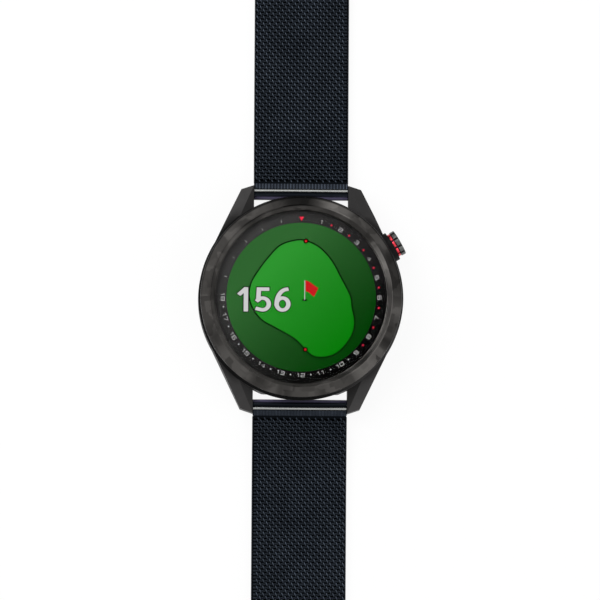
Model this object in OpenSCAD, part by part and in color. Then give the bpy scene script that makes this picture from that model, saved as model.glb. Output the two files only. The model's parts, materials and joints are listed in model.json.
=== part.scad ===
// Golf watch with a round case, a fluted side button and a woven steel strap in two halves.
// The watch lies on its back with the strap laid out flat. The middle of the case back is the
// origin, +Z leaves the face, +Y points to 12 o'clock and +X to 3 o'clock. Sizes are in millimetres.

/* [Case] */
// Diameter of the middle case
case_d = 43.4; // [42.8:0.1:46]
// Height of the bezel above the middle case
bezel_h = 3.6; // [3.3:0.1:3.9]
// How far the middle case stands out past the bezel
case_lip = 0.4; // [0.2:0.05:0.6]
// Bevel around the bottom edge of the middle case
bottom_bevel = 1.4; // [0.8:0.1:1.8]
// Bevel around the top edge of the middle case
top_bevel = 0.4; // [0.2:0.05:0.5]
// Depth of the bezel skirt inside the middle case
skirt_h = 1; // [0.8:0.1:1.2]
// Wall of the bezel skirt
skirt_wall = 1; // [0.8:0.1:1.2]

/* [Bezel and lens] */
// Width of the bezel from its outer edge to the lens opening
bezel_w = 3; // [2.7:0.05:3.4]
// Thickness of the lens
lens_t = 1.5; // [1.3:0.1:1.6]
// Bevel around the edges of the lens
lens_bevel = 0.2; // [0.1:0.05:0.3]
// Depth of the lens below the crest of the bezel
lens_drop = 0.7; // [0.5:0.1:0.9]
// Width of the bevel between the lens and the crest
crest_w = 1; // [0.8:0.05:1.3]
// Fall of the bezel from its crest to its outer edge
bezel_fall = 1.7; // [1.2:0.1:2.2]
// Width of the ledge under the lens
ledge_w = 1.25; // [1.1:0.05:1.4]
// Thickness of the gasket under the lens
lens_gasket_t = 0.2; // [0.15:0.05:0.3]
// Thickness of the printed ring under the lens
ring_t = 0.08; // [0.06:0.02:0.12]
// Width of the printed ring between the bezel and the picture
number_ring_w = 2.35; // [2.2:0.05:2.7]

/* [Display and board] */
// Thickness of the display panel
panel_t = 1.3; // [1.1:0.1:1.4]
// Room between the board and the plate under the panel
chip_room = 0.72; // [0.6:0.02:1]
// Thickness of the plate under the panel
frame_plate_t = 0.5; // [0.4:0.05:0.55]
// Width of the rim that stands on the board
frame_rim_w = 1.4; // [1:0.1:1.8]
// Thickness of the circuit board
board_t = 0.8; // [0.7:0.1:0.9]
// Width of the shelf that carries the board
shelf_w = 1.6; // [1.5:0.05:1.7]
// Radius of the board screws
board_screw_r = 0.5; // [0.4:0.05:0.55]
// Length of the board screws below the board
board_screw_l = 2; // [1.5:0.1:2.5]
// Height of the board screw heads
board_head_h = 0.35; // [0.25:0.05:0.4]
// Height of the chips on the board
chip_h = 0.45; // [0.3:0.05:0.5]
// Width of the antenna strip
antenna_w = 1.1; // [0.8:0.1:1.2]
// Thickness of the antenna strip
antenna_t = 0.4; // [0.2:0.1:0.5]
// Arc of the antenna strip
antenna_arc = 80; // [60:1:90]
// Side of the shield can, as a share of the cavity's diameter
can_share = 0.187; // [0.15:0.001:0.2]
// Height of the shield can
can_h = 1.4; // [1.1:0.1:1.8]
// Wall of the shield can
can_wall = 0.2; // [0.15:0.05:0.3]
// Width of the display ribbon
ribbon_w = 8; // [6:0.5:10]
// Thickness of the display ribbon
ribbon_t = 0.16; // [0.1:0.02:0.2]

/* [Power] */
// Room beside the battery in the cavity
battery_side = 5.2; // [4.7:0.1:6.2]
// Room between the battery and the shield can
battery_clear = 1.6; // [1.2:0.1:2.4]
// Thickness of the battery
battery_t = 3.2; // [2.8:0.1:3.3]
// Thickness of the pad under the battery
pad_t = 0.3; // [0.2:0.05:0.4]
// Width of the battery tab
tab_strip_w = 4; // [3:0.5:6]
// Diameter of the vibration motor, as a share of the cavity's diameter
motor_share = 0.272; // [0.24:0.002:0.28]
// Thickness of the vibration motor
motor_t = 2.7; // [2.2:0.1:3]
// Radius of a charging contact
contact_r = 0.45; // [0.35:0.05:0.55]
// Distance between charging contacts
contact_pitch = 1.8; // [1.6:0.1:2]
// Width of the charging socket
port_w = 9; // [8.2:0.1:9.6]
// Length of the charging socket
port_l = 4.6; // [4:0.1:5]
// Depth of the charging socket
port_depth = 1; // [0.7:0.1:1.3]
// How far the contacts stand out of the socket floor
contact_out = 0.4; // [0.2:0.05:0.6]

/* [Case back] */
// Thickness of the case back
back_t = 2.2; // [2:0.1:2.3]
// How far the case back stands below the middle case
back_proud = 1; // [0.6:0.1:1.2]
// Bevel around the case back
back_bevel = 0.4; // [0.2:0.1:0.6]
// Width of the case back gasket
gasket_w = 1; // [0.8:0.1:1.1]
// Height of the case back gasket
gasket_h = 0.6; // [0.4:0.1:0.8]
// Radius of the case back screws
back_screw_r = 0.6; // [0.5:0.05:0.7]
// Radius of the case back screw heads
back_head_r = 0.95; // [0.85:0.05:1]
// Height of the case back screw heads
back_head_h = 0.7; // [0.5:0.1:0.8]
// Length of the case back screws in the middle case
back_screw_l = 2.4; // [2:0.1:3]
// Depth of the screw heads below the case back's face
head_sink = 0.15; // [0.1:0.05:0.25]

/* [Lugs] */
// Distance of the spring bars outside the middle case
bar_out = 0.6; // [0.5:0.05:1]
// Height of the spring bars above the table
bar_z = 2.6; // [2.4:0.1:3]
// Reach of the lugs past the spring bars
lug_past_bar = 1.9; // [1.6:0.1:2.4]
// Width of a lug at its tip
lug_tip_w = 2.7; // [2.3:0.1:3.2]
// Slant of a lug's end
lug_slant = 0.9; // [0.6:0.1:1.4]
// Height of a lug at its tip
lug_tip_z = 4.6; // [4.2:0.1:5]
// Slope of the lugs
lug_slope = 22; // [16:1:28]
// How far the lugs stay below the bezel
lug_below_bezel = 0.6; // [0.4:0.1:1]
// Width of the lug's inner facet where it meets the bezel
lug_facet_w = 3; // [2:0.1:3.4]
// Fall of the lug's inner facet towards the strap
lug_facet_fall = 1.2; // [0.6:0.1:1.6]
// Depth of the spring bar holes in the lugs
bar_hole_depth = 1.5; // [1.3:0.1:1.8]

/* [Side button] */
// Direction of the button, counted from 3 o'clock towards 12 o'clock
button_angle = 30.5; // [25:0.5:35]
// Depth of the button's axis below the board
button_drop = 1.4; // [1.3:0.1:1.6]
// Diameter of the button cap
cap_d = 5.5; // [5:0.1:5.8]
// Thickness of the button cap
cap_t = 1; // [0.7:0.1:1.2]
// How far the cap stands out past the coloured ring
ring_inset = 0.15; // [0.05:0.05:0.3]
// Thickness of the coloured ring
colour_ring_t = 0.65; // [0.5:0.05:1]
// Radius of a flute in the cap and the ring
flute_r = 0.32; // [0.2:0.02:0.4]
// Number of flutes
flute_count = 10; // [6:1:12]
// Travel of the button
button_travel = 0.6; // [0.4:0.05:0.8]
// Radius of the button stem
stem_r = 0.8; // [0.7:0.05:0.9]
// Radius of the button bush
bush_r = 1.9; // [1.75:0.05:2]
// Thickness of the bush flange
flange_t = 0.75; // [0.6:0.05:0.9]
// Wire radius of the button spring
spring_wire_r = 0.15; // [0.1:0.01:0.18]
// Depth of the spring seat in the bush
spring_seat = 1.55; // [1.2:0.05:1.8]

/* [Strap] */
// Width of the strap
strap_w = 19.8; // [18.8:0.1:21]
// Thickness of the woven strap
mesh_t = 1.5; // [1.4:0.05:1.6]
// Length of one bending stretch of the weave
pitch = 14.4; // [13:0.2:16]
// Rows of coils in one stretch of the weave
row_count = 20; // [16:1:22]
// Depth of the grooves between the rows
row_depth = 0.3; // [0.2:0.05:0.4]
// Stretches in the short half
upper_count = 5; // [4:1:6]
// Stretches in the long half
lower_count = 10; // [8:1:12]
// Distance from the spring bar to the first bend
end_len = 2.5; // [2.4:0.1:3]
// Radius of the polished bead on the end link
bead_r = 0.3; // [0.2:0.02:0.35]
// Distance of the bead from the spring bar
bead_y = 0.75; // [0.7:0.05:1]
// Thickness of the metal above and below the weave in its end fittings
cover_t = 0.35; // [0.3:0.05:0.5]
// Length of weave held in an end fitting
grip_l = 3; // [2:0.1:4]

/* [Spring bars] */
// Radius of the spring bar barrel
barrel_r = 0.75; // [0.7:0.01:0.8]
// Wall of the end link around the spring bar
link_wall = 0.3; // [0.25:0.05:0.45]
// Radius of the spring bar pins
pin_r = 0.45; // [0.4:0.01:0.48]
// Depth of the pins in the lugs
pin_seat = 1; // [0.8:0.05:1.1]
// Travel of the release pin
release_travel = 1.25; // [1.15:0.05:1.4]
// Distance of the release knob from the strap's side
knob_inset = 2.9; // [2.5:0.1:3.5]
// Reach of the release knob below the bar's axis
knob_reach = 1.8; // [1.6:0.1:2]
// Length of the bar spring
bar_spring_l = 5.5; // [5:0.1:6]
// Wire radius of the bar spring
bar_wire_r = 0.1; // [0.08:0.01:0.12]

/* [Clasp] */
// Radius of the loop's hinge bar
loop_bar_r = 0.6; // [0.5:0.02:0.65]
// Thickness of the loop frame
loop_t = 1.6; // [1.4:0.1:2]
// Width of the loop frame's sides
loop_side_w = 1.7; // [1.4:0.1:2.4]
// Length of the loop's window
loop_window = 5; // [4.6:0.1:6]
// Length of the magnet tab past the weave
tab_l = 14; // [12:0.5:18]
// Distance of the magnet from the tab's end
magnet_end = 3; // [2:0.1:4]
// Distance of the magnet from the tab's sides
magnet_side = 2.4; // [1.8:0.1:3.6]
// Thickness of the magnet
magnet_t = 1.2; // [0.8:0.1:1.3]
// Corner radius of the tab and the loop
corner_r = 1.5; // [0.8:0.1:2]

/* [Hidden] */
$fn = 96;
// Overshoot of a cut past the face it opens
cut = 0.5;
// Edge of a block larger than any face it trims
block = 60;
// Points on a rounded corner
corner_steps = 8;
// Rings along one turn of a spring and sides around its wire
rings_per_turn = 8;
wire_sides = 6;
// Clearances between pieces that fit together
lens_gap = 0.15;
skirt_gap = 0.05;
back_gap = 0.05;
panel_gap = 0.3;
board_gap = 0.1;
run_gap = 0.05;
hinge_gap = 0.1;
swing_gap = 0.3;
side_gap = 0.2;
strap_gap = 0.1;
button_gap = 0.1;
part_gap = 0.3;
battery_gap = 0.3;

// Heights up the watch head, one piece on the next
battery_bottom = back_t + pad_t;
battery_top = battery_bottom + battery_t;
board_z = battery_top + battery_gap;
board_top = board_z + board_t;
plate_bottom = board_top + chip_room;
panel_bottom = plate_bottom + frame_plate_t;
ring_bottom = panel_bottom + panel_t;
lens_bottom = ring_bottom + ring_t;
lens_top = lens_bottom + lens_t;
head_h = lens_top + lens_drop;
case_top = head_h - bezel_h;
skirt_bottom = case_top - skirt_h;
ledge_z = ring_bottom - lens_gasket_t;
button_z = board_z - button_drop;

// Radii out from the middle of the watch head
case_r = case_d / 2;
bezel_r = case_r - case_lip;
lens_bore_r = bezel_r - bezel_w;
lens_r = lens_bore_r - lens_gap;
view_r = lens_r - number_ring_w;
crest_r = lens_bore_r + crest_w;
ledge_r = lens_r - ledge_w;
skirt_r = ledge_r + skirt_wall;
skirt_bore_r = skirt_r + skirt_gap;
panel_r = ledge_r - panel_gap;
pocket_r = panel_r - board_gap;
board_r = pocket_r - board_gap;
cavity_r = pocket_r - shelf_w;
rim_out_r = cavity_r - side_gap;
rim_in_r = rim_out_r - frame_rim_w;
board_screw_circle = (cavity_r + board_r) / 2;
board_head_r = (board_r - cavity_r) / 2 - run_gap;
gasket_land = 0.5;
gasket_in_r = cavity_r + gasket_land;
gasket_out_r = gasket_in_r + gasket_w;
screw_land = 0.25;
back_screw_circle = gasket_out_r + screw_land + back_head_r;
back_r = back_screw_circle + back_head_r + screw_land;
board_screw_angles = [90, 210, 330];
back_screw_angles = [45, 135, 225, 315];
antenna_start = 110;

// Places inside the cavity
port_margin = 2;
port_y = cavity_r - port_margin - port_l / 2;
port_corner = 0.8;
contact_count = 4;
can_w = 2 * cavity_r * can_share;
can_y = port_y - contact_r - 2 * part_gap - can_w / 2;
battery_l = 2 * (cavity_r - battery_side);
battery_low = -sqrt(pow(cavity_r - part_gap, 2) - pow(battery_l / 2, 2));
battery_high = can_y - can_w / 2 - battery_clear;
battery_w = battery_high - battery_low;
battery_y = (battery_low + battery_high) / 2;
motor_r = cavity_r * motor_share;
motor_y = battery_high + part_gap + motor_r;
motor_x = -sqrt(pow(cavity_r - part_gap - motor_r, 2) - pow(motor_y, 2));
pad_inset = 1;
battery_corner = 1.5;
ribbon_y = -9;
ribbon_foot = 2;
chip_places = [[-5, 4, 4], [4.5, 3, 5], [5.5, -4.5, 3]];

// Stations along the button's axis, counted out from the middle of the case
guard_out = 0.85;
guard_wall = 0.35;
guard_gap = 0.25;
cap_r = cap_d / 2;
colour_ring_r = cap_r - ring_inset;
guard_bore_r = colour_ring_r + guard_gap;
guard_r = guard_bore_r + guard_wall;
guard_u = case_r + guard_out;
flange_sink = 0.6;
flange_u = guard_u - flange_sink;
flange_seat_u = flange_u - flange_t;
bush_wall = 0.45;
bush_in_u = skirt_bore_r + bush_wall;
ring_in_u = flange_u + button_travel + button_gap;
cap_in_u = ring_in_u + colour_ring_t;
cap_out_u = cap_in_u + cap_t;
cap_face = 0.3;
hub_wall = 0.4;
hub_r = stem_r + hub_wall;
clip_t = 0.25;
clip_lip = 0.35;
clip_r = stem_r + clip_lip;
clip_groove_depth = 0.2;
clip_groove_r = stem_r - clip_groove_depth;
clip_out_u = cavity_r - hinge_gap - run_gap;
stem_tail = 0.3;
stem_in_u = clip_out_u - clip_t - stem_tail;
switch_u = stem_in_u - button_travel - run_gap;
switch_pad = 0.2;
switch_depth = 1.4;
switch_w = 3;
switch_in_u = switch_u - switch_pad - switch_depth;
switch_corner_x = switch_in_u * cos(button_angle) - switch_w / 2 * sin(button_angle);
can_x = switch_corner_x - part_gap - can_w / 2;
seal_l = 0.8;
seal_w = 0.6;
seal_r = stem_r + seal_w;
spring_in_u = flange_u - spring_seat;
spring_wall = 0.4;
spring_bore_r = bush_r - spring_wall;
spring_mean_r = (spring_bore_r + stem_r) / 2 + run_gap;
spring_turns = 4;

// Lugs and the recess for the strap's end
bar_y = case_r + bar_out;
lug_gap = strap_w + 2 * strap_gap;
lug_in_x = lug_gap / 2;
lug_tip_y = bar_y + lug_past_bar;
lug_out_x = lug_in_x + lug_tip_w;
lug_top = case_top - lug_below_bezel;
lug_sink = 0.15;
lug_root_depth = 2.4;
link_bore_r = barrel_r + run_gap;
link_r = link_bore_r + link_wall;
knob_turn_r = norm([knob_reach, pin_r]);
recess_y = bar_y - max(link_r, knob_turn_r) - swing_gap;
recess_cover = 1;
recess_top = lug_top - recess_cover;
bar_hole_r = pin_r + run_gap;

// The strap's line: it slopes from the spring bar to the table and then lies flat
band_z = mesh_t / 2 + cover_t;
knuckle_r = mesh_t / 2 - run_gap;
rest_tilt = asin((bar_z - band_z) / (end_len + pitch));
flat_y = bar_y + (end_len + pitch) * cos(rest_tilt);

// Grooves between the rows of coils: each is a V whose sides slope alike, and none reaches a bend
row_pitch = pitch / row_count;
groove_share = 0.65;
groove_w = row_pitch * groove_share;
first_groove = 2;
last_groove = row_count - 1;

// Spring bar pieces, along the bar
barrel_inset = 0.6;
barrel_half = strap_w / 2 - barrel_inset;
pin_tip_x = lug_in_x + pin_seat;
knob_x = strap_w / 2 - knob_inset;
release_tail = 3.5;
release_in_x = knob_x - release_tail;
fixed_in_x = release_in_x - bar_spring_l;
knob_r = pin_r;
knob_slot_r = knob_r + hinge_gap;
bar_spring_turns = 6;
bar_spring_mean_r = pin_r - bar_wire_r - run_gap;

// Clasp pieces
holder_y = 1.2;
loop_in_x = strap_w / 2 + side_gap;
loop_out_x = loop_in_x + loop_side_w;
loop_end_y = band_z + loop_window;
magnet_y = 2;
magnet_l = tab_l - magnet_y - magnet_end;
magnet_w = strap_w - 2 * magnet_side;

// Numbers below ten get a leading nought, so that the stretches sort in order
function stretch_name(side, k) = str(side, "_mesh_", k < 10 ? "0" : "", k);

// Outline of a rectangle centred on the origin with rounded corners
function rounded_outline(w, l, r) = [
    for (q = [0:3], s = [0:corner_steps])
        let (a = 90 * (q + s / corner_steps), sx = (q == 0 || q == 3) ? 1 : -1, sy = q < 2 ? 1 : -1)
            [sx * (w / 2 - r) + r * cos(a), sy * (l / 2 - r) + r * sin(a)]
];

// Upright disc between two heights
module disc(r, low, high) {
    translate([0, 0, low])
        cylinder(r = r, h = high - low);
}

// Upright ring between two heights
module band(r_in, r_out, low, high) {
    difference() {
        disc(r_out, low, high);
        disc(r_in, low - cut, high + cut);
    }
}

// Upright slab with rounded corners, centred on a point
module slab(w, l, r, x, y, low, high) {
    translate([x, y, low])
        linear_extrude(high - low)
            polygon(rounded_outline(w, l, r));
}

// Rod along X between two places
module x_rod(r, from, to) {
    translate([from, 0, 0])
        rotate([0, 90, 0])
            cylinder(r = r, h = to - from);
}

// Copies at the given angles on a circle
module on_circle(circle_r, angles) {
    for (a = angles)
        rotate(a)
            translate([circle_r, 0, 0])
                children();
}

// Everything above a plane through a point
module above_plane(point, normal) {
    translate(point)
        rotate([0, acos(normal.z / norm(normal)), atan2(normal.y, normal.x)])
            translate([-block / 2, -block / 2, 0])
                cube(block);
}

// The button's frame: its local Z runs out along the button's axis
module on_button_axis() {
    rotate(button_angle)
        translate([0, 0, button_z])
            rotate([0, 90, 0])
                children();
}

// Disc across the button's axis between two stations
module button_disc(r, from, to) {
    on_button_axis()
        disc(r, from, to);
}

// Coil along Z from the origin, as one swept tube
module coil(mean_r, wire_r, length, turns) {
    steps = turns * rings_per_turn;
    sides = wire_sides;
    travel = length - 2 * wire_r;
    points = [
        for (i = [0:steps], j = [0:sides - 1])
            let (a = 360 * turns * i / steps, b = 360 * j / sides, r = mean_r + wire_r * cos(b))
                [r * cos(a), r * sin(a), wire_r + travel * i / steps + wire_r * sin(b)]
    ];
    walls = [
        for (i = [0:steps - 1], j = [0:sides - 1])
            let (a = i * sides + j, b = i * sides + (j + 1) % sides)
                each [[a, a + sides, b], [b, a + sides, b + sides]]
    ];
    caps = [
        for (j = [1:sides - 2])
            each [[0, j, j + 1], [steps * sides, steps * sides + j + 1, steps * sides + j]]
    ];
    polyhedron(points, concat(walls, caps));
}

// One lug, in the quarter of +X and +Y
module lug() {
    tip = [lug_out_x, lug_tip_y - lug_slant];
    reach = case_r - lug_sink;
    meet = atan2(tip.y, tip.x) - acos(reach / norm(tip));
    root_r = case_r - lug_root_depth;
    slope = tan(lug_slope);
    crease_tip = [lug_in_x + side_gap, lug_tip_y - lug_slant / 2];
    crease_root = [lug_in_x + lug_facet_w, sqrt(pow(case_r, 2) - pow(lug_in_x + lug_facet_w, 2))];
    facet_root = [lug_in_x, crease_root.y];
    top_at = function (p) lug_tip_z + (lug_tip_y - p.y) * slope;
    a = [crease_tip.x, crease_tip.y, top_at(crease_tip)];
    b = [crease_root.x, crease_root.y, top_at(crease_root)];
    c = [facet_root.x, facet_root.y, top_at(facet_root) - lug_facet_fall];
    difference() {
        translate([0, 0, back_proud])
            linear_extrude(lug_top - back_proud)
                polygon([
                    [lug_in_x, lug_tip_y],
                    tip,
                    [reach * cos(meet), reach * sin(meet)],
                    [root_r * cos(meet), root_r * sin(meet)],
                    [lug_in_x, sqrt(pow(root_r, 2) - pow(lug_in_x, 2))]
                ]);
        above_plane([lug_in_x, lug_tip_y, lug_tip_z], [0, slope, 1]);
        above_plane(a, cross(c - a, b - a));
    }
}

// Black outer case with its lugs, the cavity for the works and the guard around the button
module mid_case() {
    color("dimgray")
        difference() {
            union() {
                rotate_extrude()
                    polygon([
                        [0, back_proud],
                        [case_r - bottom_bevel, back_proud],
                        [case_r, back_proud + bottom_bevel],
                        [case_r, case_top - top_bevel],
                        [case_r - top_bevel, case_top],
                        [0, case_top]
                    ]);
                for (mx = [0, 1], my = [0, 1])
                    mirror([mx, 0, 0])
                        mirror([0, my, 0])
                            lug();
                button_disc(guard_r, bush_in_u, guard_u);
            }
            rotate_extrude()
                polygon([
                    [0, -cut],
                    [back_r + back_gap, -cut],
                    [back_r + back_gap, back_t],
                    [cavity_r, back_t],
                    [cavity_r, board_z],
                    [pocket_r, board_z],
                    [pocket_r, skirt_bottom],
                    [skirt_bore_r, skirt_bottom],
                    [skirt_bore_r, case_top + cut],
                    [0, case_top + cut]
                ]);
            for (turn = [0, 180])
                rotate(turn) {
                    translate([-lug_in_x, recess_y, -cut])
                        cube([lug_gap, lug_tip_y - recess_y + cut, recess_top + cut]);
                    translate([0, bar_y, bar_z])
                        x_rod(bar_hole_r, -lug_in_x - bar_hole_depth, lug_in_x + bar_hole_depth);
                }
            on_circle(back_screw_circle, back_screw_angles)
                disc(back_screw_r, back_t - cut, back_t + back_screw_l);
            on_circle(board_screw_circle, board_screw_angles)
                disc(board_screw_r, board_z - board_screw_l, board_z + cut);
            button_disc(guard_bore_r, flange_seat_u, guard_u + cut);
            button_disc(bush_r, bush_in_u, flange_seat_u + cut);
            button_disc(stem_r + run_gap, cavity_r - cut, bush_in_u + cut);
        }
}

// Polished metal bezel with a bevel down to the lens, a ledge under it and a skirt
module bezel() {
    color("slategray")
        rotate_extrude()
            polygon([
                [ledge_r, skirt_bottom],
                [skirt_r, skirt_bottom],
                [skirt_r, case_top],
                [bezel_r, case_top],
                [bezel_r, head_h - bezel_fall],
                [crest_r, head_h],
                [lens_bore_r, lens_top - lens_bevel],
                [lens_bore_r, ledge_z],
                [ledge_r, ledge_z]
            ]);
}

// Clear lens with bevelled edges
module lens() {
    color("lightcyan", 0.3)
        rotate_extrude()
            polygon([
                [0, lens_bottom],
                [lens_r, lens_bottom],
                [lens_r, lens_top - lens_bevel],
                [lens_r - lens_bevel, lens_top],
                [0, lens_top]
            ]);
}

// Flat gasket between the bezel's ledge and the printed ring
module lens_gasket() {
    color("black")
        band(ledge_r, lens_r, ledge_z, ring_bottom);
}

// Printed ring on the lens's underside that carries the hole numbers
module number_ring() {
    color("black")
        band(view_r, lens_r, ring_bottom, lens_bottom);
}

// Colour display
module display_panel() {
    color("forestgreen")
        disc(panel_r, panel_bottom, ring_bottom);
}

// Plastic frame: a plate under the display with a rim that stands on the board
module display_frame() {
    color("gray")
        difference() {
            union() {
                disc(board_r, plate_bottom, panel_bottom);
                band(rim_in_r, rim_out_r, board_top, panel_bottom);
            }
            translate([-ribbon_w / 2 - part_gap, ribbon_y - part_gap, plate_bottom - cut])
                cube([ribbon_w + 2 * part_gap, ribbon_t + 2 * part_gap, frame_plate_t + 2 * cut]);
        }
}

// Ribbon from the display down to the board
module display_flex() {
    color("orange")
        translate([-ribbon_w / 2, ribbon_y, 0]) {
            translate([0, 0, board_top])
                cube([ribbon_w, ribbon_t, panel_bottom - board_top]);
            translate([0, 0, board_top])
                cube([ribbon_w, ribbon_foot, ribbon_t]);
        }
}

// Circuit board, screwed to the shelf in the middle case
module main_board() {
    color("darkgreen")
        difference() {
            disc(board_r, board_z, board_top);
            on_circle(board_screw_circle, board_screw_angles)
                disc(board_screw_r, board_z - cut, board_top + cut);
        }
}

// Chips on top of the board
module board_chips() {
    color("black")
        for (chip = chip_places)
            translate([chip.x - chip.z / 2, chip.y - chip.z / 2, board_top])
                cube([chip.z, chip.z, chip_h]);
}

// Screening can under the board
module shield_can() {
    inner_w = can_w - 2 * can_wall;
    color("silver")
        translate([can_x, can_y, board_z - can_h])
            difference() {
                translate([-can_w / 2, -can_w / 2, 0])
                    cube([can_w, can_w, can_h]);
                translate([-inner_w / 2, -inner_w / 2, can_wall])
                    cube([inner_w, inner_w, can_h]);
            }
}

// Antenna strip on the board's edge
module gps_antenna() {
    color("goldenrod")
        rotate(antenna_start)
            rotate_extrude(angle = antenna_arc)
                translate([cavity_r + side_gap / 2, board_top])
                    square([antenna_w, antenna_t]);
}

// Three screws that hold the board
module board_screws() {
    color("silver")
        on_circle(board_screw_circle, board_screw_angles) {
            disc(board_screw_r, board_z - board_screw_l, board_top);
            disc(board_head_r, board_top, board_top + board_head_h);
        }
}

// Rechargeable cell
module battery() {
    color("lightsteelblue")
        slab(battery_l, battery_w, battery_corner, 0, battery_y, battery_bottom, battery_top);
}

// Foam pad between the case back and the cell
module battery_pad() {
    pad_l = battery_l - 2 * pad_inset;
    pad_w = battery_w - 2 * pad_inset;
    color("dimgray")
        slab(pad_l, pad_w, pad_inset, 0, battery_y, back_t, battery_bottom);
}

// Terminal strip from the cell up to the board
module battery_tab() {
    color("gold")
        translate([-tab_strip_w / 2, battery_y, battery_top])
            cube([tab_strip_w, battery_w / 2 - battery_corner, battery_gap]);
}

// Coin motor under the board
module vibration_motor() {
    color("silver")
        translate([motor_x, motor_y, 0])
            disc(motor_r, board_z - motor_t, board_z);
}

// Push switch in line with the button's stem
module side_switch() {
    low = button_z - button_drop / 2;
    color("black") {
        rotate(button_angle)
            translate([switch_in_u, -switch_w / 2, low])
                cube([switch_depth, switch_w, board_z - low]);
        button_disc(button_drop / 2 - hinge_gap, switch_u - switch_pad, switch_u);
    }
}

// Flat case back with the charging socket, the gasket groove and screw holes
module case_back() {
    color("gray")
        difference() {
            rotate_extrude()
                polygon([
                    [0, 0],
                    [back_r - back_bevel, 0],
                    [back_r, back_bevel],
                    [back_r, back_t],
                    [0, back_t]
                ]);
            band(gasket_in_r, gasket_out_r, back_t - gasket_h, back_t + cut);
            slab(port_w, port_l, port_corner, 0, port_y, -cut, port_depth);
            contact_row()
                disc(contact_r, -cut, back_t + cut);
            on_circle(back_screw_circle, back_screw_angles) {
                disc(back_screw_r + run_gap, -cut, back_t + cut);
                disc(back_head_r + run_gap, -cut, head_sink + back_head_h);
            }
        }
}

// Square section gasket under the case back's rim
module case_back_gasket() {
    color("darkred")
        band(gasket_in_r, gasket_out_r, back_t - gasket_h, back_t);
}

// Four case back screws with hexagon sockets
module case_back_screws() {
    socket_r = back_head_r / 2;
    socket_depth = back_head_h / 2;
    color("silver")
        on_circle(back_screw_circle, back_screw_angles)
            difference() {
                union() {
                    disc(back_head_r, head_sink, head_sink + back_head_h);
                    disc(back_screw_r, head_sink + back_head_h, back_t + back_screw_l);
                }
                translate([0, 0, head_sink - cut])
                    cylinder(r = socket_r, h = socket_depth + cut, $fn = 6);
            }
}

// Copies at the places of the charging contacts
module contact_row() {
    for (i = [0:contact_count - 1])
        translate([(i - (contact_count - 1) / 2) * contact_pitch, port_y, 0])
            children();
}

// Four contact pins from the charging socket up to the board
module charging_contacts() {
    color("gold")
        contact_row()
            disc(contact_r, port_depth - contact_out, board_z);
}

// Flanged bush that guides the button's stem
module button_bush() {
    color("darkgray")
        difference() {
            union() {
                button_disc(bush_r, bush_in_u, flange_seat_u);
                button_disc(guard_bore_r, flange_seat_u, flange_u);
            }
            button_disc(stem_r + run_gap, bush_in_u - cut, flange_u + cut);
            button_disc(seal_r, bush_in_u - cut, bush_in_u + seal_l);
            button_disc(spring_bore_r, spring_in_u, flange_u + cut);
        }
}

// Ring seal around the stem at the bush's inner end
module button_seal() {
    color("black")
        difference() {
            button_disc(seal_r, bush_in_u, bush_in_u + seal_l);
            button_disc(stem_r + run_gap, bush_in_u - cut, bush_in_u + seal_l + cut);
        }
}

// Return spring between the bush and the button
module button_spring() {
    color("silver")
        on_button_axis()
            translate([0, 0, spring_in_u])
                coil(spring_mean_r, spring_wire_r, ring_in_u - spring_in_u, spring_turns);
}

// Stem from the cap in to the switch, with a groove for its clip
module button_stem() {
    color("silver")
        difference() {
            button_disc(stem_r, stem_in_u, cap_out_u - cap_face);
            difference() {
                button_disc(stem_r + cut, clip_out_u - clip_t, clip_out_u);
                button_disc(clip_groove_r, clip_out_u - clip_t - cut, clip_out_u + cut);
            }
        }
}

// Clip that keeps the stem in the case
module button_clip() {
    color("gray")
        difference() {
            button_disc(clip_r, clip_out_u - clip_t, clip_out_u);
            button_disc(clip_groove_r, clip_out_u - clip_t - cut, clip_out_u + cut);
        }
}

// Disc with flutes around its edge
module fluted_disc(r, from, to) {
    difference() {
        button_disc(r, from, to);
        on_button_axis()
            for (i = [0:flute_count - 1])
                rotate(360 * i / flute_count)
                    translate([r, 0, 0])
                        disc(flute_r, from - cut, to + cut);
    }
}

// Coloured ring behind the cap
module button_ring() {
    color("crimson")
        difference() {
            fluted_disc(colour_ring_r, ring_in_u, cap_in_u);
            button_disc(hub_r, ring_in_u - cut, cap_in_u + cut);
        }
}

// Fluted cap with a hub that passes through the coloured ring
module button_cap() {
    color("darkslategray")
        difference() {
            union() {
                fluted_disc(cap_r, cap_in_u, cap_out_u);
                button_disc(hub_r, ring_in_u, cap_in_u + cap_face);
            }
            button_disc(stem_r, ring_in_u - cut, cap_out_u - cap_face);
        }
}

// The short half runs along +Y and the long half is the same, turned half way round
module on_side(side) {
    rotate(side == "lower" ? 180 : 0)
        children();
}

// The end link's frame: its origin is on the spring bar and +Y runs down the strap
module at_end_link(side) {
    on_side(side)
        translate([0, bar_y, bar_z])
            rotate([-rest_tilt, 0, 0])
                children();
}

// A stretch's frame: its origin is on its first bend and +Y runs down the strap
module at_stretch(side, k) {
    if (k == 1)
        at_end_link(side)
            translate([0, end_len, 0])
                children();
    else
        on_side(side)
            translate([0, flat_y + (k - 2) * pitch, band_z])
                children();
}

// Slot for the release knob, below the spring bar
module knob_slot(depth) {
    translate([knob_x - release_travel - knob_slot_r, -knob_slot_r, -depth])
        cube([release_travel + 2 * knob_slot_r, 2 * knob_slot_r, depth]);
}

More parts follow.
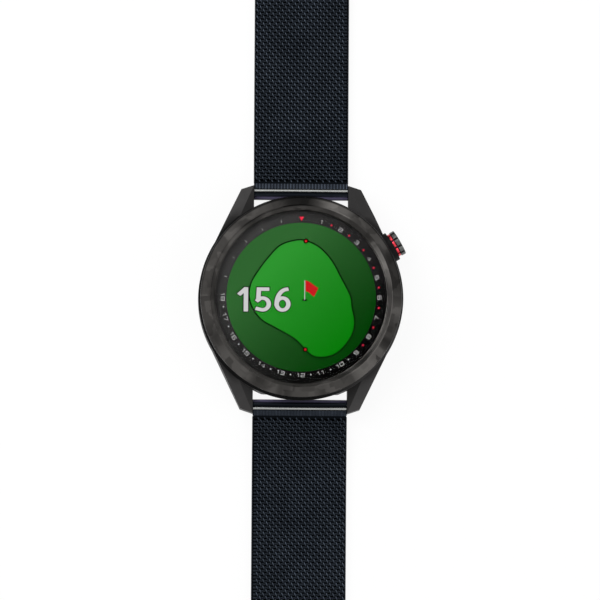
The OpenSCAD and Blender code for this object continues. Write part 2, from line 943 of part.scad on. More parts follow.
// End link: a tube around the spring bar with a polished bead and a short plate
module end_link(side) {
    color("black")
        at_end_link(side)
            difference() {
                union() {
                    x_rod(link_r, -strap_w / 2, strap_w / 2);
                    translate([-strap_w / 2, 0, -mesh_t / 2])
                        cube([strap_w, end_len, mesh_t]);
                    translate([0, end_len, 0])
                        x_rod(knuckle_r, -strap_w / 2, strap_w / 2);
                    translate([0, bead_y, mesh_t / 2])
                        x_rod(bead_r, -strap_w / 2, strap_w / 2);
                }
                x_rod(link_bore_r, -strap_w / 2 - cut, strap_w / 2 + cut);
                knob_slot(link_r + cut);
            }
}

// Barrel of the spring bar
module bar_barrel(side) {
    color("silver")
        at_end_link(side)
            difference() {
                x_rod(barrel_r, -barrel_half, barrel_half);
                x_rod(bar_hole_r, -barrel_half - cut, barrel_half + cut);
                knob_slot(barrel_r + cut);
            }
}

// Pin fixed in the barrel's left end
module bar_fixed_pin(side) {
    color("lightgray")
        at_end_link(side) {
            x_rod(bar_hole_r, -barrel_half, fixed_in_x);
            x_rod(pin_r, -pin_tip_x, -barrel_half);
        }
}

// Sliding pin with the release knob
module bar_release_pin(side) {
    color("lightgray")
        at_end_link(side) {
            x_rod(pin_r, release_in_x, pin_tip_x);
            translate([knob_x, 0, -knob_reach])
                cylinder(r = knob_r, h = knob_reach);
        }
}

// Spring between the two pins
module bar_spring(side) {
    color("silver")
        at_end_link(side)
            translate([fixed_in_x, 0, 0])
                rotate([0, 90, 0])
                    coil(bar_spring_mean_r, bar_wire_r, bar_spring_l, bar_spring_turns);
}

// Points of one groove in a stretch's side view, on its top (face 1) or its underside (face -1)
function groove(n, face) = [
    for (step = [-1:1])
        [n * row_pitch - face * step * groove_w / 2, face * (mesh_t / 2 - row_depth * (1 - abs(step)))]
];

// Plate with the rows of coils across it
module woven_plate() {
    underside = [for (n = [first_groove:last_groove]) each groove(n, -1)];
    top = [for (n = [last_groove:-1:first_groove]) each groove(n, 1)];
    near_end = [[0, mesh_t / 2], [0, -mesh_t / 2]];
    far_end = [[pitch, -mesh_t / 2], [pitch, mesh_t / 2]];
    translate([-strap_w / 2, 0, 0])
        rotate([90, 0, 90])
            linear_extrude(height = strap_w)
                polygon(concat(near_end, underside, far_end, top));
}

// One stretch of weave: a plate hollowed around the bend before it, with a round nose at the next
module stretch(side, k, count) {
    color("darkslategray")
        at_stretch(side, k)
            difference() {
                union() {
                    woven_plate();
                    if (k < count)
                        translate([0, pitch, 0])
                            x_rod(knuckle_r, -strap_w / 2, strap_w / 2);
                }
                x_rod(knuckle_r + hinge_gap, -strap_w / 2 - cut, strap_w / 2 + cut);
            }
}

// Room for the weave in an end fitting
module weave_room() {
    translate([-strap_w / 2 - cut, -grip_l - cut, -mesh_t / 2])
        cube([strap_w + 2 * cut, grip_l + cut, mesh_t]);
}

// The frame of an end fitting: its origin is at the end of the weave
module at_weave_end(side, count) {
    at_stretch(side, count)
        translate([0, pitch, 0])
            children();
}

// Folded fitting that grips the short half's end and holds the loop's bar
module upper_loop_holder() {
    color("black")
        at_weave_end("upper", upper_count)
            difference() {
                union() {
                    translate([-strap_w / 2, -grip_l, -band_z + run_gap])
                        cube([strap_w, grip_l + holder_y, 2 * (band_z - run_gap)]);
                    translate([0, holder_y, 0])
                        x_rod(band_z, -strap_w / 2, strap_w / 2);
                }
                weave_room();
                translate([0, holder_y, 0])
                    x_rod(loop_bar_r + run_gap, -strap_w / 2 - cut, strap_w / 2 + cut);
            }
}

// Flat loop that the long half passes through
module loop_frame() {
    frame_w = 2 * loop_out_x;
    frame_l = loop_end_y + loop_side_w + loop_side_w / 2;
    middle_y = frame_l / 2 - loop_side_w / 2;
    window_l = loop_end_y + loop_side_w / 2 + cut;
    color("black")
        at_weave_end("upper", upper_count)
            translate([0, holder_y, 0]) {
                difference() {
                    slab(frame_w, frame_l, corner_r, 0, middle_y, -loop_t / 2, loop_t / 2);
                    translate([-loop_in_x, -loop_side_w / 2 - cut, -loop_t / 2 - cut])
                        cube([2 * loop_in_x, window_l, loop_t + 2 * cut]);
                }
                x_rod(loop_bar_r, -loop_in_x - loop_side_w / 2, loop_in_x + loop_side_w / 2);
            }
}

// Upper shell of the tab at the long half's end, hollow for the magnet
module magnet_tab() {
    shell_l = grip_l + tab_l;
    color("black")
        at_weave_end("lower", lower_count)
            difference() {
                slab(strap_w, shell_l, corner_r, 0, shell_l / 2 - grip_l, -mesh_t / 2, band_z);
                weave_room();
                magnet_room(-mesh_t / 2 - cut);
            }
}

// Space for the magnet, from a height up to the magnet's top
module magnet_room(low) {
    translate([-magnet_w / 2, magnet_y, low])
        cube([magnet_w, magnet_l, magnet_t - mesh_t / 2 - low]);
}

// Thin plate that closes the tab from below
module magnet_cover() {
    shell_l = grip_l + tab_l;
    color("black")
        at_weave_end("lower", lower_count)
            slab(strap_w, shell_l, corner_r, 0, shell_l / 2 - grip_l, -band_z, -mesh_t / 2);
}

// Magnet in the tab
module magnet() {
    color("silver")
        at_weave_end("lower", lower_count)
            magnet_room(-mesh_t / 2);
}

mid_case();
bezel();
lens();
lens_gasket();
number_ring();
display_panel();
display_frame();
display_flex();
main_board();
board_chips();
shield_can();
gps_antenna();
board_screws();
battery();
battery_pad();
battery_tab();
vibration_motor();
side_switch();
case_back();
case_back_gasket();
case_back_screws();
charging_contacts();
button_bush();
button_seal();
button_spring();
button_stem();
button_clip();
button_ring();
button_cap();
for (side = ["upper", "lower"]) {
    end_link(side);
    bar_barrel(side);
    bar_fixed_pin(side);
    bar_release_pin(side);
    bar_spring(side);
    count = side == "upper" ? upper_count : lower_count;
    for (k = [1:count])
        stretch(side, k, count);
}
upper_loop_holder();
loop_frame();
magnet_tab();
magnet_cover();
magnet();
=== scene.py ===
"""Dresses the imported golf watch: finishes on its solids, and new surfaces where the looks need more.

Lengths are metres in the part's own frame. The middle of the case back is the origin, +Z leaves the face,
+Y points to 12 o'clock and +X to 3 o'clock. MM turns millimetres into metres.
"""

import json
import math

import bpy
import numpy as np
from bpy.props import FloatProperty, FloatVectorProperty, IntProperty, PointerProperty
from mathutils import Euler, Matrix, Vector


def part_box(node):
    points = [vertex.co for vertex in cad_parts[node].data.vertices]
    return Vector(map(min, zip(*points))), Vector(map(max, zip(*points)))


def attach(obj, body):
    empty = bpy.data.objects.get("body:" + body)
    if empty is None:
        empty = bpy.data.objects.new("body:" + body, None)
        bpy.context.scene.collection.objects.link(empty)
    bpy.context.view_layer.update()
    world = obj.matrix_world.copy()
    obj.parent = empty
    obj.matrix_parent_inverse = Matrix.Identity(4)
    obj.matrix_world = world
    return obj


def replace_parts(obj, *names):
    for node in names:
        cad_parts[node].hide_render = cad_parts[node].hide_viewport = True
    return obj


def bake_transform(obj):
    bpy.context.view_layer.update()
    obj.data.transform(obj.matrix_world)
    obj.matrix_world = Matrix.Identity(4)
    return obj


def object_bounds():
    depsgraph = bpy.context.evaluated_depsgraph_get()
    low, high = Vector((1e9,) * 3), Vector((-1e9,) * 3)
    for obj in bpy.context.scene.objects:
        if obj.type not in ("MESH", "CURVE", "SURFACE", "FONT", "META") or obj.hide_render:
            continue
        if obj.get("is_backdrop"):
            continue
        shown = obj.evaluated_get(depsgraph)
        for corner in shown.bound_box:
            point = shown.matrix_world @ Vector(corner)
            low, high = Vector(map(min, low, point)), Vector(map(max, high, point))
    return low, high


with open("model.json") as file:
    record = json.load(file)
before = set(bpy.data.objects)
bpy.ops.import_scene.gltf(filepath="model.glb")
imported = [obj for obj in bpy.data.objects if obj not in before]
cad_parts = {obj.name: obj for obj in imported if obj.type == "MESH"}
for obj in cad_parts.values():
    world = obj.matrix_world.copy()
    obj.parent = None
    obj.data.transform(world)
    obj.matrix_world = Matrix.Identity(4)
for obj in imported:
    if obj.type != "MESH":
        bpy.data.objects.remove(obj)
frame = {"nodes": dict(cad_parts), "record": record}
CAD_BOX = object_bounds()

bl_info = {
    "name": "Golf Watch Looks",
    "version": (1, 0, 0),
    "blender": (4, 5, 0),
    "location": "View3D > Sidebar > Golf Watch",
    "description": "Builds the finishes, the woven strap, the dial and the stage of a golf watch",
    "category": "Object",
}

MM = 0.001
TURN = 2 * math.pi
JOINTS = {joint["name"]: joint for joint in frame["record"]["behaviour"]["joints"]}
HALVES = {"upper": 1, "lower": -1}


# Settings


def length(name, description, default):
    """A length property in metres, with its default given in millimetres."""
    kind = {"min": 0, "precision": 6, "subtype": "DISTANCE", "unit": "LENGTH"}
    return FloatProperty(name=name, description=description, default=default * MM, **kind)


def colour(name, description, default):
    """A linear colour property."""
    kind = {"size": 3, "min": 0, "max": 1, "subtype": "COLOR"}
    return FloatVectorProperty(name=name, description=description, default=default, **kind)


def tilt_angle(name, description, default):
    """An angle property in radians, with its default given in degrees."""
    return FloatProperty(name=name, description=description, default=math.radians(default), subtype="ANGLE")


def lamp_power(name, description, default):
    """A power property in watts."""
    return FloatProperty(name=name, description=description, default=default, min=0, subtype="POWER")


class BezelSettings(bpy.types.PropertyGroup):
    """Shape of the bezel and the lens."""

    crest_width: length("Crest width", "Width of the bevel between the lens opening and the crest", 1.0)
    fall: length("Fall", "Drop from the crest to the outer edge", 1.7)
    lens_drop: length("Lens drop", "Depth of the lens below the crest", 0.7)
    skirt_height: length("Skirt height", "Depth of the skirt inside the middle case", 1.0)
    skirt_wall: length("Skirt wall", "Wall of the skirt", 1.0)
    ledge_width: length("Ledge width", "Width of the ledge under the lens", 1.25)
    lens_gap: length("Lens gap", "Gap around the lens", 0.15)
    edge_round: length("Edge rounding", "Radius of the outer edge", 0.3)
    crest_round: length("Crest rounding", "Radius of the crest", 0.12)
    glass_lift: length("Glass lift", "Room between the printed ring and the lens", 0.02)
    segments: IntProperty(
        name="Segments", description="Faces around the bezel and the lens", default=192, min=24
    )


class DialSettings(bpy.types.PropertyGroup):
    """Places and sizes of what is printed on the dial ring and shown on the screen."""

    number_radius: length("Number radius", "Radius of the ring of hole numbers", 16.57)
    number_height: length("Number height", "Height of a hole number", 0.76)
    number_width: length("Number width", "Width of one digit of a hole number", 0.84)
    number_line: length("Number line", "Width of the lines of a hole number", 0.07)
    dot_radius: length("Dot radius", "Radius of the dots between the numbers", 0.19)
    print_height: length("Print height", "Thickness of the printed pieces", 0.012)
    outline_width: length("Outline width", "Width of the dark line around the green", 0.3)
    digit_line: length("Digit line", "Width of the upright lines of the distance digits", 0.94)
    digit_edge: length("Digit edge", "Width of the dark edge around the distance digits", 0.2)


class WeaveSettings(bpy.types.PropertyGroup):
    """The strap's woven wire."""

    turns: IntProperty(name="Turns", description="Turns of wire across the strap", default=14, min=2)
    row_pitch: length("Row pitch", "Distance between rows of wire", 0.72)
    wire: length("Wire", "Thickness of the wire", 0.54)
    reach: length("Reach", "How far a coil reaches along the strap on each side", 0.6)
    rod: length("Rod", "Thickness of the straight rods inside the coils", 0.76)
    edge_wire: length("Edge wire", "Thickness of the wire along the strap's sides", 0.44)
    side: length("Side", "How far the wire stands out at the strap's sides", 0.14)
    rings: IntProperty(name="Rings", description="Rings along one turn of wire", default=8, min=4)
    sides: IntProperty(name="Sides", description="Sides around the wire", default=5, min=3)
    bead_at: length("Bead place", "Distance of the polished bead from the spring bar", 0.75)
    bead_radius: length("Bead radius", "Radius of the polished bead", 0.36)


class ColourSettings(bpy.types.PropertyGroup):
    """Colours that a user would change, as linear values."""

    case: colour("Case", "Moulded case and lugs", (0.048, 0.0465, 0.0465))
    bezel: colour("Bezel", "Polished bezel", (0.062, 0.059, 0.056))
    strap: colour("Strap", "Plated strap wire", (0.0145, 0.018, 0.0235))
    accent: colour("Accent", "Ring behind the button cap", (0.62, 0.045, 0.065))
    lettering: colour("Lettering", "Light print", (0.4, 0.4, 0.4))
    mark: colour("Mark", "Red print", (0.42, 0.012, 0.03))
    # The upper left and lower right colours of the screen differ by painted lens glare
    green_near: colour("Green, upper left", "Lit green at its upper left", (0.026, 0.295, 0.0275))
    green_far: colour("Green, lower right", "Lit green at its lower right", (0.0006, 0.185, 0.0005))
    rough_near: colour("Rough, upper left", "Dark surround at its upper left", (0.0275, 0.125, 0.0275))
    rough_far: colour("Rough, lower right", "Dark surround at its lower right", (0.0005, 0.04, 0.001))


class StageSettings(bpy.types.PropertyGroup):
    """Camera and light."""

    tilt: tilt_angle("Tilt", "Camera's tilt towards 6 o'clock", 5)
    lean: tilt_angle("Lean", "Camera's tilt towards 9 o'clock", 1.5)
    roll: tilt_angle("Roll", "Camera's turn around its view", 0.36)
    frame_width: length("Frame width", "Width of the picture at the watch", 127.15)
    aim: FloatVectorProperty(
        name="Aim",
        description="Point the camera looks at",
        default=(-0.11 * MM, -0.18 * MM),
        size=2,
        subtype="XYZ",
    )
    aim_height: length("Aim height", "Height of the point the camera looks at", 4.6)
    focal_length: FloatProperty(
        name="Focal length", description="Camera lens in millimetres", default=700, min=20
    )
    sky: FloatProperty(
        name="Sky", description="Strength of the even light from all round", default=0.55, min=0
    )
    key_power: lamp_power("Key power", "Power of the main soft lamp", 3.4)
    fill_power: lamp_power("Fill power", "Power of the second soft lamp", 1.4)


class GolfWatchSettings(bpy.types.PropertyGroup):
    """All settings of the golf watch."""

    bezel: PointerProperty(type=BezelSettings)
    dial: PointerProperty(type=DialSettings)
    weave: PointerProperty(type=WeaveSettings)
    colours: PointerProperty(type=ColourSettings)
    stage: PointerProperty(type=StageSettings)


# Mesh helpers. A part is an array of points and a list of face arrays, one for each number of corners.


def full_turn(count):
    """Angles that divide a full turn evenly."""
    return np.arange(count) / count * TURN


def grid_faces(rows, columns, wrap_rows=False, wrap_columns=True):
    """Quads of a grid of points stored row by row, joined end to end where it wraps."""
    row = np.arange(rows if wrap_rows else rows - 1)[:, None]
    column = np.arange(columns if wrap_columns else columns - 1)[None, :]
    below, right = (row + 1) % rows, (column + 1) % columns
    here, under = row * columns, below * columns
    corners = [here + column, here + right, under + right, under + column]
    return np.stack(np.broadcast_arrays(*corners), -1).reshape(-1, 4)


def capped_grid(points):
    """Part from rows of points around a form: quads between the rows, and one face over each open end."""
    rows, columns = points.shape[:2]
    first = np.arange(columns)[None, ::-1]
    last = (rows - 1) * columns + np.arange(columns)[None, :]
    return points.reshape(-1, 3), [grid_faces(rows, columns), np.concatenate([first, last])]


def ring_grid(points):
    """Part from rows of points that close on themselves both ways."""
    rows, columns = points.shape[:2]
    return points.reshape(-1, 3), [grid_faces(rows, columns, wrap_rows=True)]


def prism(outline, low, high):
    """Part between two heights over a flat outline, which runs anticlockwise."""
    count = len(outline)
    heights = np.array([low, high])[:, None, None] * np.ones((2, count, 1))
    flat = np.broadcast_to(outline, (2, count, 2))
    return capped_grid(np.concatenate([flat, heights], -1))


def stroke(path, width, low, high, closed=False):
    """Part that carries a flat rectangle along a path.

    Each point moves out by half the width along its mitre. An open path is made longer by half the width at
    both ends.
    """
    path = np.array(path, float)
    step = np.roll(path, -1, 0) - path
    if not closed:
        step[-1] = step[-2]
    heading = step / np.linalg.norm(step, axis=1, keepdims=True)
    if not closed:
        path[0] -= heading[0] * width / 2
        path[-1] += heading[-1] * width / 2
    before = np.roll(heading, 1, 0)
    if not closed:
        before[0] = heading[0]
    normal = np.stack([-heading[:, 1] - before[:, 1], heading[:, 0] + before[:, 0]], 1)
    sharpest = 0.7
    normal /= np.maximum((normal * normal).sum(1, keepdims=True) / 2, sharpest)
    left, right = path + normal * width / 2, path - normal * width / 2
    corners = [(left, low), (left, high), (right, high), (right, low)]
    rows = np.stack([np.column_stack([flat, np.full(len(flat), z)]) for flat, z in corners], 1)
    return ring_grid(rows) if closed else capped_grid(rows)


def disc(centre, radius, low, high, count=20):
    """Part of a round dot: a circle carried between two heights."""
    angle = full_turn(count)
    return prism(np.asarray(centre) + radius * np.column_stack([np.cos(angle), np.sin(angle)]), low, high)


def turned(profile, segments):
    """Rows of points of a profile of radius and height, turned around Z."""
    angle = full_turn(segments)
    radius, height = profile[:, 0, None], profile[:, 1, None]
    return np.stack(np.broadcast_arrays(radius * np.cos(angle), radius * np.sin(angle), height), -1)


def rounded(corners, steps=6, rest=0.04 * MM):
    """Closed profile with an arc at each corner that has a radius, and a point near each end of an arc."""
    points = np.array([corner[:2] for corner in corners], float)
    outline = []
    for index, corner in enumerate(corners):
        here, radius = points[index], corner[2]
        back = points[index - 1] - here
        ahead = points[(index + 1) % len(points)] - here
        back, ahead = back / np.linalg.norm(back), ahead / np.linalg.norm(ahead)
        if radius == 0:
            outline.append(here[None])
            continue
        half = math.acos(float(np.clip(back @ ahead, -1, 1))) / 2
        middle = (back + ahead) / np.linalg.norm(back + ahead)
        centre = here + middle * radius / math.sin(half)
        reach = radius / math.tan(half)
        start, finish = here + back * reach - centre, here + ahead * reach - centre
        share = np.linspace(0, 1, steps + 1)[:, None]
        sweep = math.pi - 2 * half
        arc = (np.sin((1 - share) * sweep) * start + np.sin(share * sweep) * finish) / math.sin(sweep)
        outline.append(np.concatenate([[start + back * rest], arc, [finish + ahead * rest]]) + centre)
    return np.concatenate(outline)


def volume(points, faces):
    """Signed volume inside the faces: a sixth of the sum of the triple products of their triangles."""
    total = 0.0
    for block in faces:
        corner = points[block]
        for k in range(1, block.shape[1] - 1):
            total += np.einsum("ij,ij->", corner[:, 0], np.cross(corner[:, k], corner[:, k + 1]))
    return total / 6


def put_mesh(name, parts, material, slot, sharp=40, crest=None):
    """Object at the origin from parts, with its faces outwards and smooth up to an angle in degrees.

    A crest is a value for each point, which the object keeps as an attribute of that name.
    """
    points, blocks, start = [], [], 0
    for part, faces in parts:
        sign = 1 if volume(part - part.mean(0), faces) > 0 else -1
        blocks += [(block if sign > 0 else block[:, ::-1]) + start for block in faces]
        points.append(part)
        start += len(part)
    points = np.concatenate(points)
    sizes = np.concatenate([np.full(len(block), block.shape[1]) for block in blocks])
    corners = np.concatenate([block.reshape(-1) for block in blocks])
    mesh = bpy.data.meshes.new(name)
    mesh.vertices.add(len(points))
    mesh.vertices.foreach_set("co", points.astype(np.float32).ravel())
    mesh.loops.add(len(corners))
    mesh.loops.foreach_set("vertex_index", corners.astype(np.int32))
    mesh.polygons.add(len(sizes))
    mesh.polygons.foreach_set("loop_start", (np.cumsum(sizes) - sizes).astype(np.int32))
    mesh.polygons.foreach_set("loop_total", sizes.astype(np.int32))
    mesh.update(calc_edges=True)
    mesh.validate()
    if crest is not None:
        mesh.attributes.new("crest", "FLOAT", "POINT").data.foreach_set("value", crest.astype(np.float32))
    mesh.shade_smooth()
    mesh.set_sharp_from_angle(angle=math.radians(sharp))
    mesh.materials.append(material)
    piece = bpy.data.objects.new(name, mesh)
    bpy.context.scene.collection.objects.link(piece)
    return piece if slot else piece


# Finishes


def new_group(name, inputs, outputs):
    """Shader node group with its sockets, as (group, nodes, input node, output node)."""
    group = bpy.data.node_groups.new(name, "ShaderNodeTree")
    kinds = {"colour": "NodeSocketColor", "value": "NodeSocketFloat"}
    for label, kind in inputs:
        group.interface.new_socket(name=label, in_out="INPUT", socket_type=kinds[kind])
    for label, kind in outputs:
        group.interface.new_socket(name=label, in_out="OUTPUT", socket_type=kinds[kind])
    return group, group.nodes.new("NodeGroupInput"), group.nodes.new("NodeGroupOutput")


def feed(tree, socket, value):
    """Links a socket to another one, or sets it to a number or a colour."""
    if isinstance(value, bpy.types.NodeSocket):
        tree.links.new(value, socket)
    else:
        socket.default_value = value if np.isscalar(value) else (*value, 1)


def math_node(tree, operation, *values):
    """Math node on sockets or numbers; returns its output."""
    node = tree.nodes.new("ShaderNodeMath")
    node.operation = operation
    for socket, value in zip(node.inputs, values):
        feed(tree, socket, value)
    return node.outputs[0]


def times(tree, first, second):
    """One value times another; returns the product."""
    return math_node(tree, "MULTIPLY", first, second)


def times_plus(tree, first, second, third):
    """One value times another, plus a third; returns the sum."""
    return math_node(tree, "MULTIPLY_ADD", first, second, third)


def minus(tree, first, second):
    """One value less another; returns the difference."""
    return math_node(tree, "SUBTRACT", first, second)


def largest(tree, first, *others):
    """The largest of some values; returns it."""
    for other in others:
        first = math_node(tree, "MAXIMUM", first, other)
    return first


def vector_node(tree, *values):
    """Vector from values; returns it."""
    node = tree.nodes.new("ShaderNodeCombineXYZ")
    for socket, value in zip(node.inputs, values):
        feed(tree, socket, value)
    return node.outputs[0]


def noise_node(tree, vector, scale, detail):
    """Noise texture on a vector; returns its factor."""
    node = tree.nodes.new("ShaderNodeTexNoise")
    for label, value in (("Vector", vector), ("Scale", scale), ("Detail", detail)):
        feed(tree, node.inputs[label], value)
    return node.outputs["Fac"]


def toned(tree, tint, value):
    """A colour made lighter or darker by a value; returns the colour."""
    node = tree.nodes.new("ShaderNodeHueSaturation")
    feed(tree, node.inputs["Color"], tint)
    feed(tree, node.inputs["Value"], value)
    return node.outputs["Color"]


def mixed(tree, share, first, second):
    """Mix of two colours, with a share of the second; returns the colour."""
    node = tree.nodes.new("ShaderNodeMix")
    node.data_type = "RGBA"
    for label, value in (("Factor", share), ("A", first), ("B", second)):
        feed(tree, node.inputs[label], value)
    return node.outputs["Result"]


def mix_surface(tree, share, first, second):
    """Makes a material's surface a mix of two shaders, with a share of the second."""
    mix = tree.nodes.new("ShaderNodeMixShader")
    tree.links.new(share, mix.inputs["Fac"])
    tree.links.new(first, mix.inputs[1])
    tree.links.new(second, mix.inputs[2])
    tree.links.new(mix.outputs["Shader"], tree.nodes["Material Output"].inputs["Surface"])


def grain_group():
    """Fine grain with broad tone changes.

    A fine noise gives the height and the change of roughness, and one that is much wider gives the tone.
    """
    if "fine_grain" in bpy.data.node_groups:
        return bpy.data.node_groups["fine_grain"]
    numbers = ("Tone Change", "Roughness", "Roughness Change", "Scale")
    inputs = [("Color", "colour")] + [(label, "value") for label in numbers]
    outputs = [("Color", "colour"), ("Roughness", "value"), ("Height", "value")]
    tree, source, result = new_group("fine_grain", inputs, outputs)
    tint, tone_change, roughness, rough_change, scale = [source.outputs[label] for label, _ in inputs]
    place = tree.nodes.new("ShaderNodeTexCoord").outputs["Object"]
    broad_share = 0.08
    fine = noise_node(tree, place, scale, 3)
    broad = noise_node(tree, place, times(tree, scale, broad_share), 2)
    tone = times_plus(tree, minus(tree, broad, 0.5), tone_change, 1.0)
    tree.links.new(toned(tree, tint, tone), result.inputs["Color"])
    rough = times_plus(tree, minus(tree, fine, 0.5), rough_change, roughness)
    tree.links.new(rough, result.inputs["Roughness"])
    tree.links.new(fine, result.inputs["Height"])
    return tree


def object_place(tree, output="Object"):
    """X, Y and Z of a point of the object, or of its normal."""
    place = tree.nodes.new("ShaderNodeSeparateXYZ")
    tree.links.new(tree.nodes.new("ShaderNodeTexCoord").outputs[output], place.inputs[0])
    return place.outputs["X"], place.outputs["Y"], place.outputs["Z"]


def ramp_node(tree, value, low, high):
    """Nought below one value, one above another, and smooth between them."""
    node = tree.nodes.new("ShaderNodeMapRange")
    node.interpolation_type = "SMOOTHSTEP"
    node.inputs["From Min"].default_value = low
    node.inputs["From Max"].default_value = high
    tree.links.new(value, node.inputs["Value"])
    return node.outputs["Result"]


def fade_group():
    """Painted lens glare: a slow change from one colour at the upper left of the dial to another at the
    lower right.

    The share grows along the slant from nought at the start to one at the end, fast at first and then
    slowly.
    """
    if "dial_painted_glare" in bpy.data.node_groups:
        return bpy.data.node_groups["dial_painted_glare"]
    inputs = [("Upper Left", "colour"), ("Lower Right", "colour"), ("Start", "value"), ("End", "value")]
    tree, source, result = new_group("dial_painted_glare", inputs, [("Color", "colour")])
    near, far, start, end = [source.outputs[label] for label, _ in inputs]
    x, y, _ = object_place(tree)
    rest = tree.nodes.new("ShaderNodeMapRange")
    falling = times(tree, minus(tree, x, y), math.sqrt(0.5))
    ranges = (("Value", falling), ("From Min", start), ("From Max", end), ("To Min", 1.0), ("To Max", 0.0))
    for label, value in ranges:
        feed(tree, rest.inputs[label], value)
    share = math_node(tree, "POWER", rest.outputs["Result"], 1.4)
    tree.links.new(mixed(tree, share, far, near), result.inputs["Color"])
    return tree


def new_material(name):
    """Material with its node tree and its Principled shader."""
    material = bpy.data.materials.new(name)
    material.use_nodes = True
    return material, material.node_tree, material.node_tree.nodes["Principled BSDF"]


def place_group(tree, group, values):
    """Group node in a material, with its inputs set by name."""
    node = tree.nodes.new("ShaderNodeGroup")
    node.node_tree = group
    for label, value in values.items():
        feed(tree, node.inputs[label], value)
    return node


def round_edges(tree, shader, radius, height=None, bump=0.0):
    """Softens the look of sharp edges, and adds a bump where a height is given."""
    edge = tree.nodes.new("ShaderNodeBevel")
    edge.samples = 6
    edge.inputs["Radius"].default_value = radius
    normal = edge.outputs["Normal"]
    if height is not None:
        relief = tree.nodes.new("ShaderNodeBump")
        relief.inputs["Strength"].default_value = 1.0
        relief.inputs["Distance"].default_value = bump
        tree.links.new(height, relief.inputs["Height"])
        tree.links.new(normal, relief.inputs["Normal"])
        normal = relief.outputs["Normal"]
    tree.links.new(normal, shader.inputs["Normal"])


def lay_grain(tree, shader, tint, roughness, grain, tone, rough_change, bump, edge):
    """Lays fine grain over a colour and feeds a shader with it. Grain, bump and edge are millimetres."""
    values = {"Color": tint, "Tone Change": tone, "Roughness": roughness, "Roughness Change": rough_change}
    node = place_group(tree, grain_group(), {**values, "Scale": 1 / (grain * MM)})
    tree.links.new(node.outputs["Color"], shader.inputs["Base Color"])
    tree.links.new(node.outputs["Roughness"], shader.inputs["Roughness"])
    round_edges(tree, shader, edge * MM, node.outputs["Height"], bump * MM)


def grained(name, tint, metallic, roughness, shine=0.5, **look):
    """Finish with fine grain, made once. Its look may differ from the usual grain in some values."""
    if name in bpy.data.materials:
        return bpy.data.materials[name]
    usual = {"grain": 0.4, "tone": 0.3, "rough_change": 0.2, "bump": 0.004, "edge": 0.1}
    material, tree, shader = new_material(name)
    lay_grain(tree, shader, tint, roughness, **{**usual, **look})
    shader.inputs["Metallic"].default_value = metallic
    shader.inputs["Specular IOR Level"].default_value = shine
    return material


def block_node(tree, x, y, radius):
    """Random value for each square patch of a ring: cells on the angle and the radius; returns it."""
    per_radian, per_metre = 10.0, 0.55 / MM
    angle = math_node(tree, "ARCTAN2", y, x)
    spot = vector_node(tree, times(tree, angle, per_radian), times(tree, radius, per_metre))
    cells = tree.nodes.new("ShaderNodeTexVoronoi")
    cells.distance = "CHEBYCHEV"
    cells.inputs["Scale"].default_value = 1.0
    tree.links.new(spot, cells.inputs["Vector"])
    shade = tree.nodes.new("ShaderNodeSeparateColor")
    tree.links.new(cells.outputs["Color"], shade.inputs["Color"])
    return shade.outputs["Red"]


def spread_node(tree, right, top, level, lobes):
    """Level around a ring with soft lobes; returns it.

    A lobe has a clockwise angle from 12 o'clock, a half width and an amount. It is full at its angle and
    ends at its half width, by the cosine of the angle between.
    """
    value = level
    for angle, half, amount in lobes:
        angle, half = math.radians(angle), math.radians(half)
        ahead = times_plus(tree, top, math.cos(angle), times(tree, right, math.sin(angle)))
        value = times_plus(tree, ramp_node(tree, ahead, math.cos(half), 1.0), amount, value)
    return value


def axis_distance(tree, x, y):
    """Distance of a point from the watch's axis; returns it."""
    return math_node(tree, "SQRT", times_plus(tree, x, x, times(tree, y, y)))


# Painted light and shade around the bezel, as clockwise angles and half widths in degrees, and amounts

OPENING_PAINTED_LIGHT = ((60, 30, 0.6), (125, 48, 1.9), (232, 40, 1.3), (300, 40, 0.5))
SLOPE_PAINTED_LIGHT = (
    *((22, 12, 1.0), (358, 14, -0.75), (76, 22, -0.6), (112, 12, -0.3), (119, 5, -0.4)),
    *((157, 10, 0.3), (190, 6, -0.4), (205, 8, -0.4), (247, 10, -0.25), (310, 16, 0.25)),
)
BEVEL_PAINTED_LIGHT = ((68, 18, 1.1), (38, 16, -0.4), (137, 9, -0.4), (187, 12, -0.35), (326, 10, -0.4))
CREST_PAINTED_SHADE = ((315, 75, -0.5),)


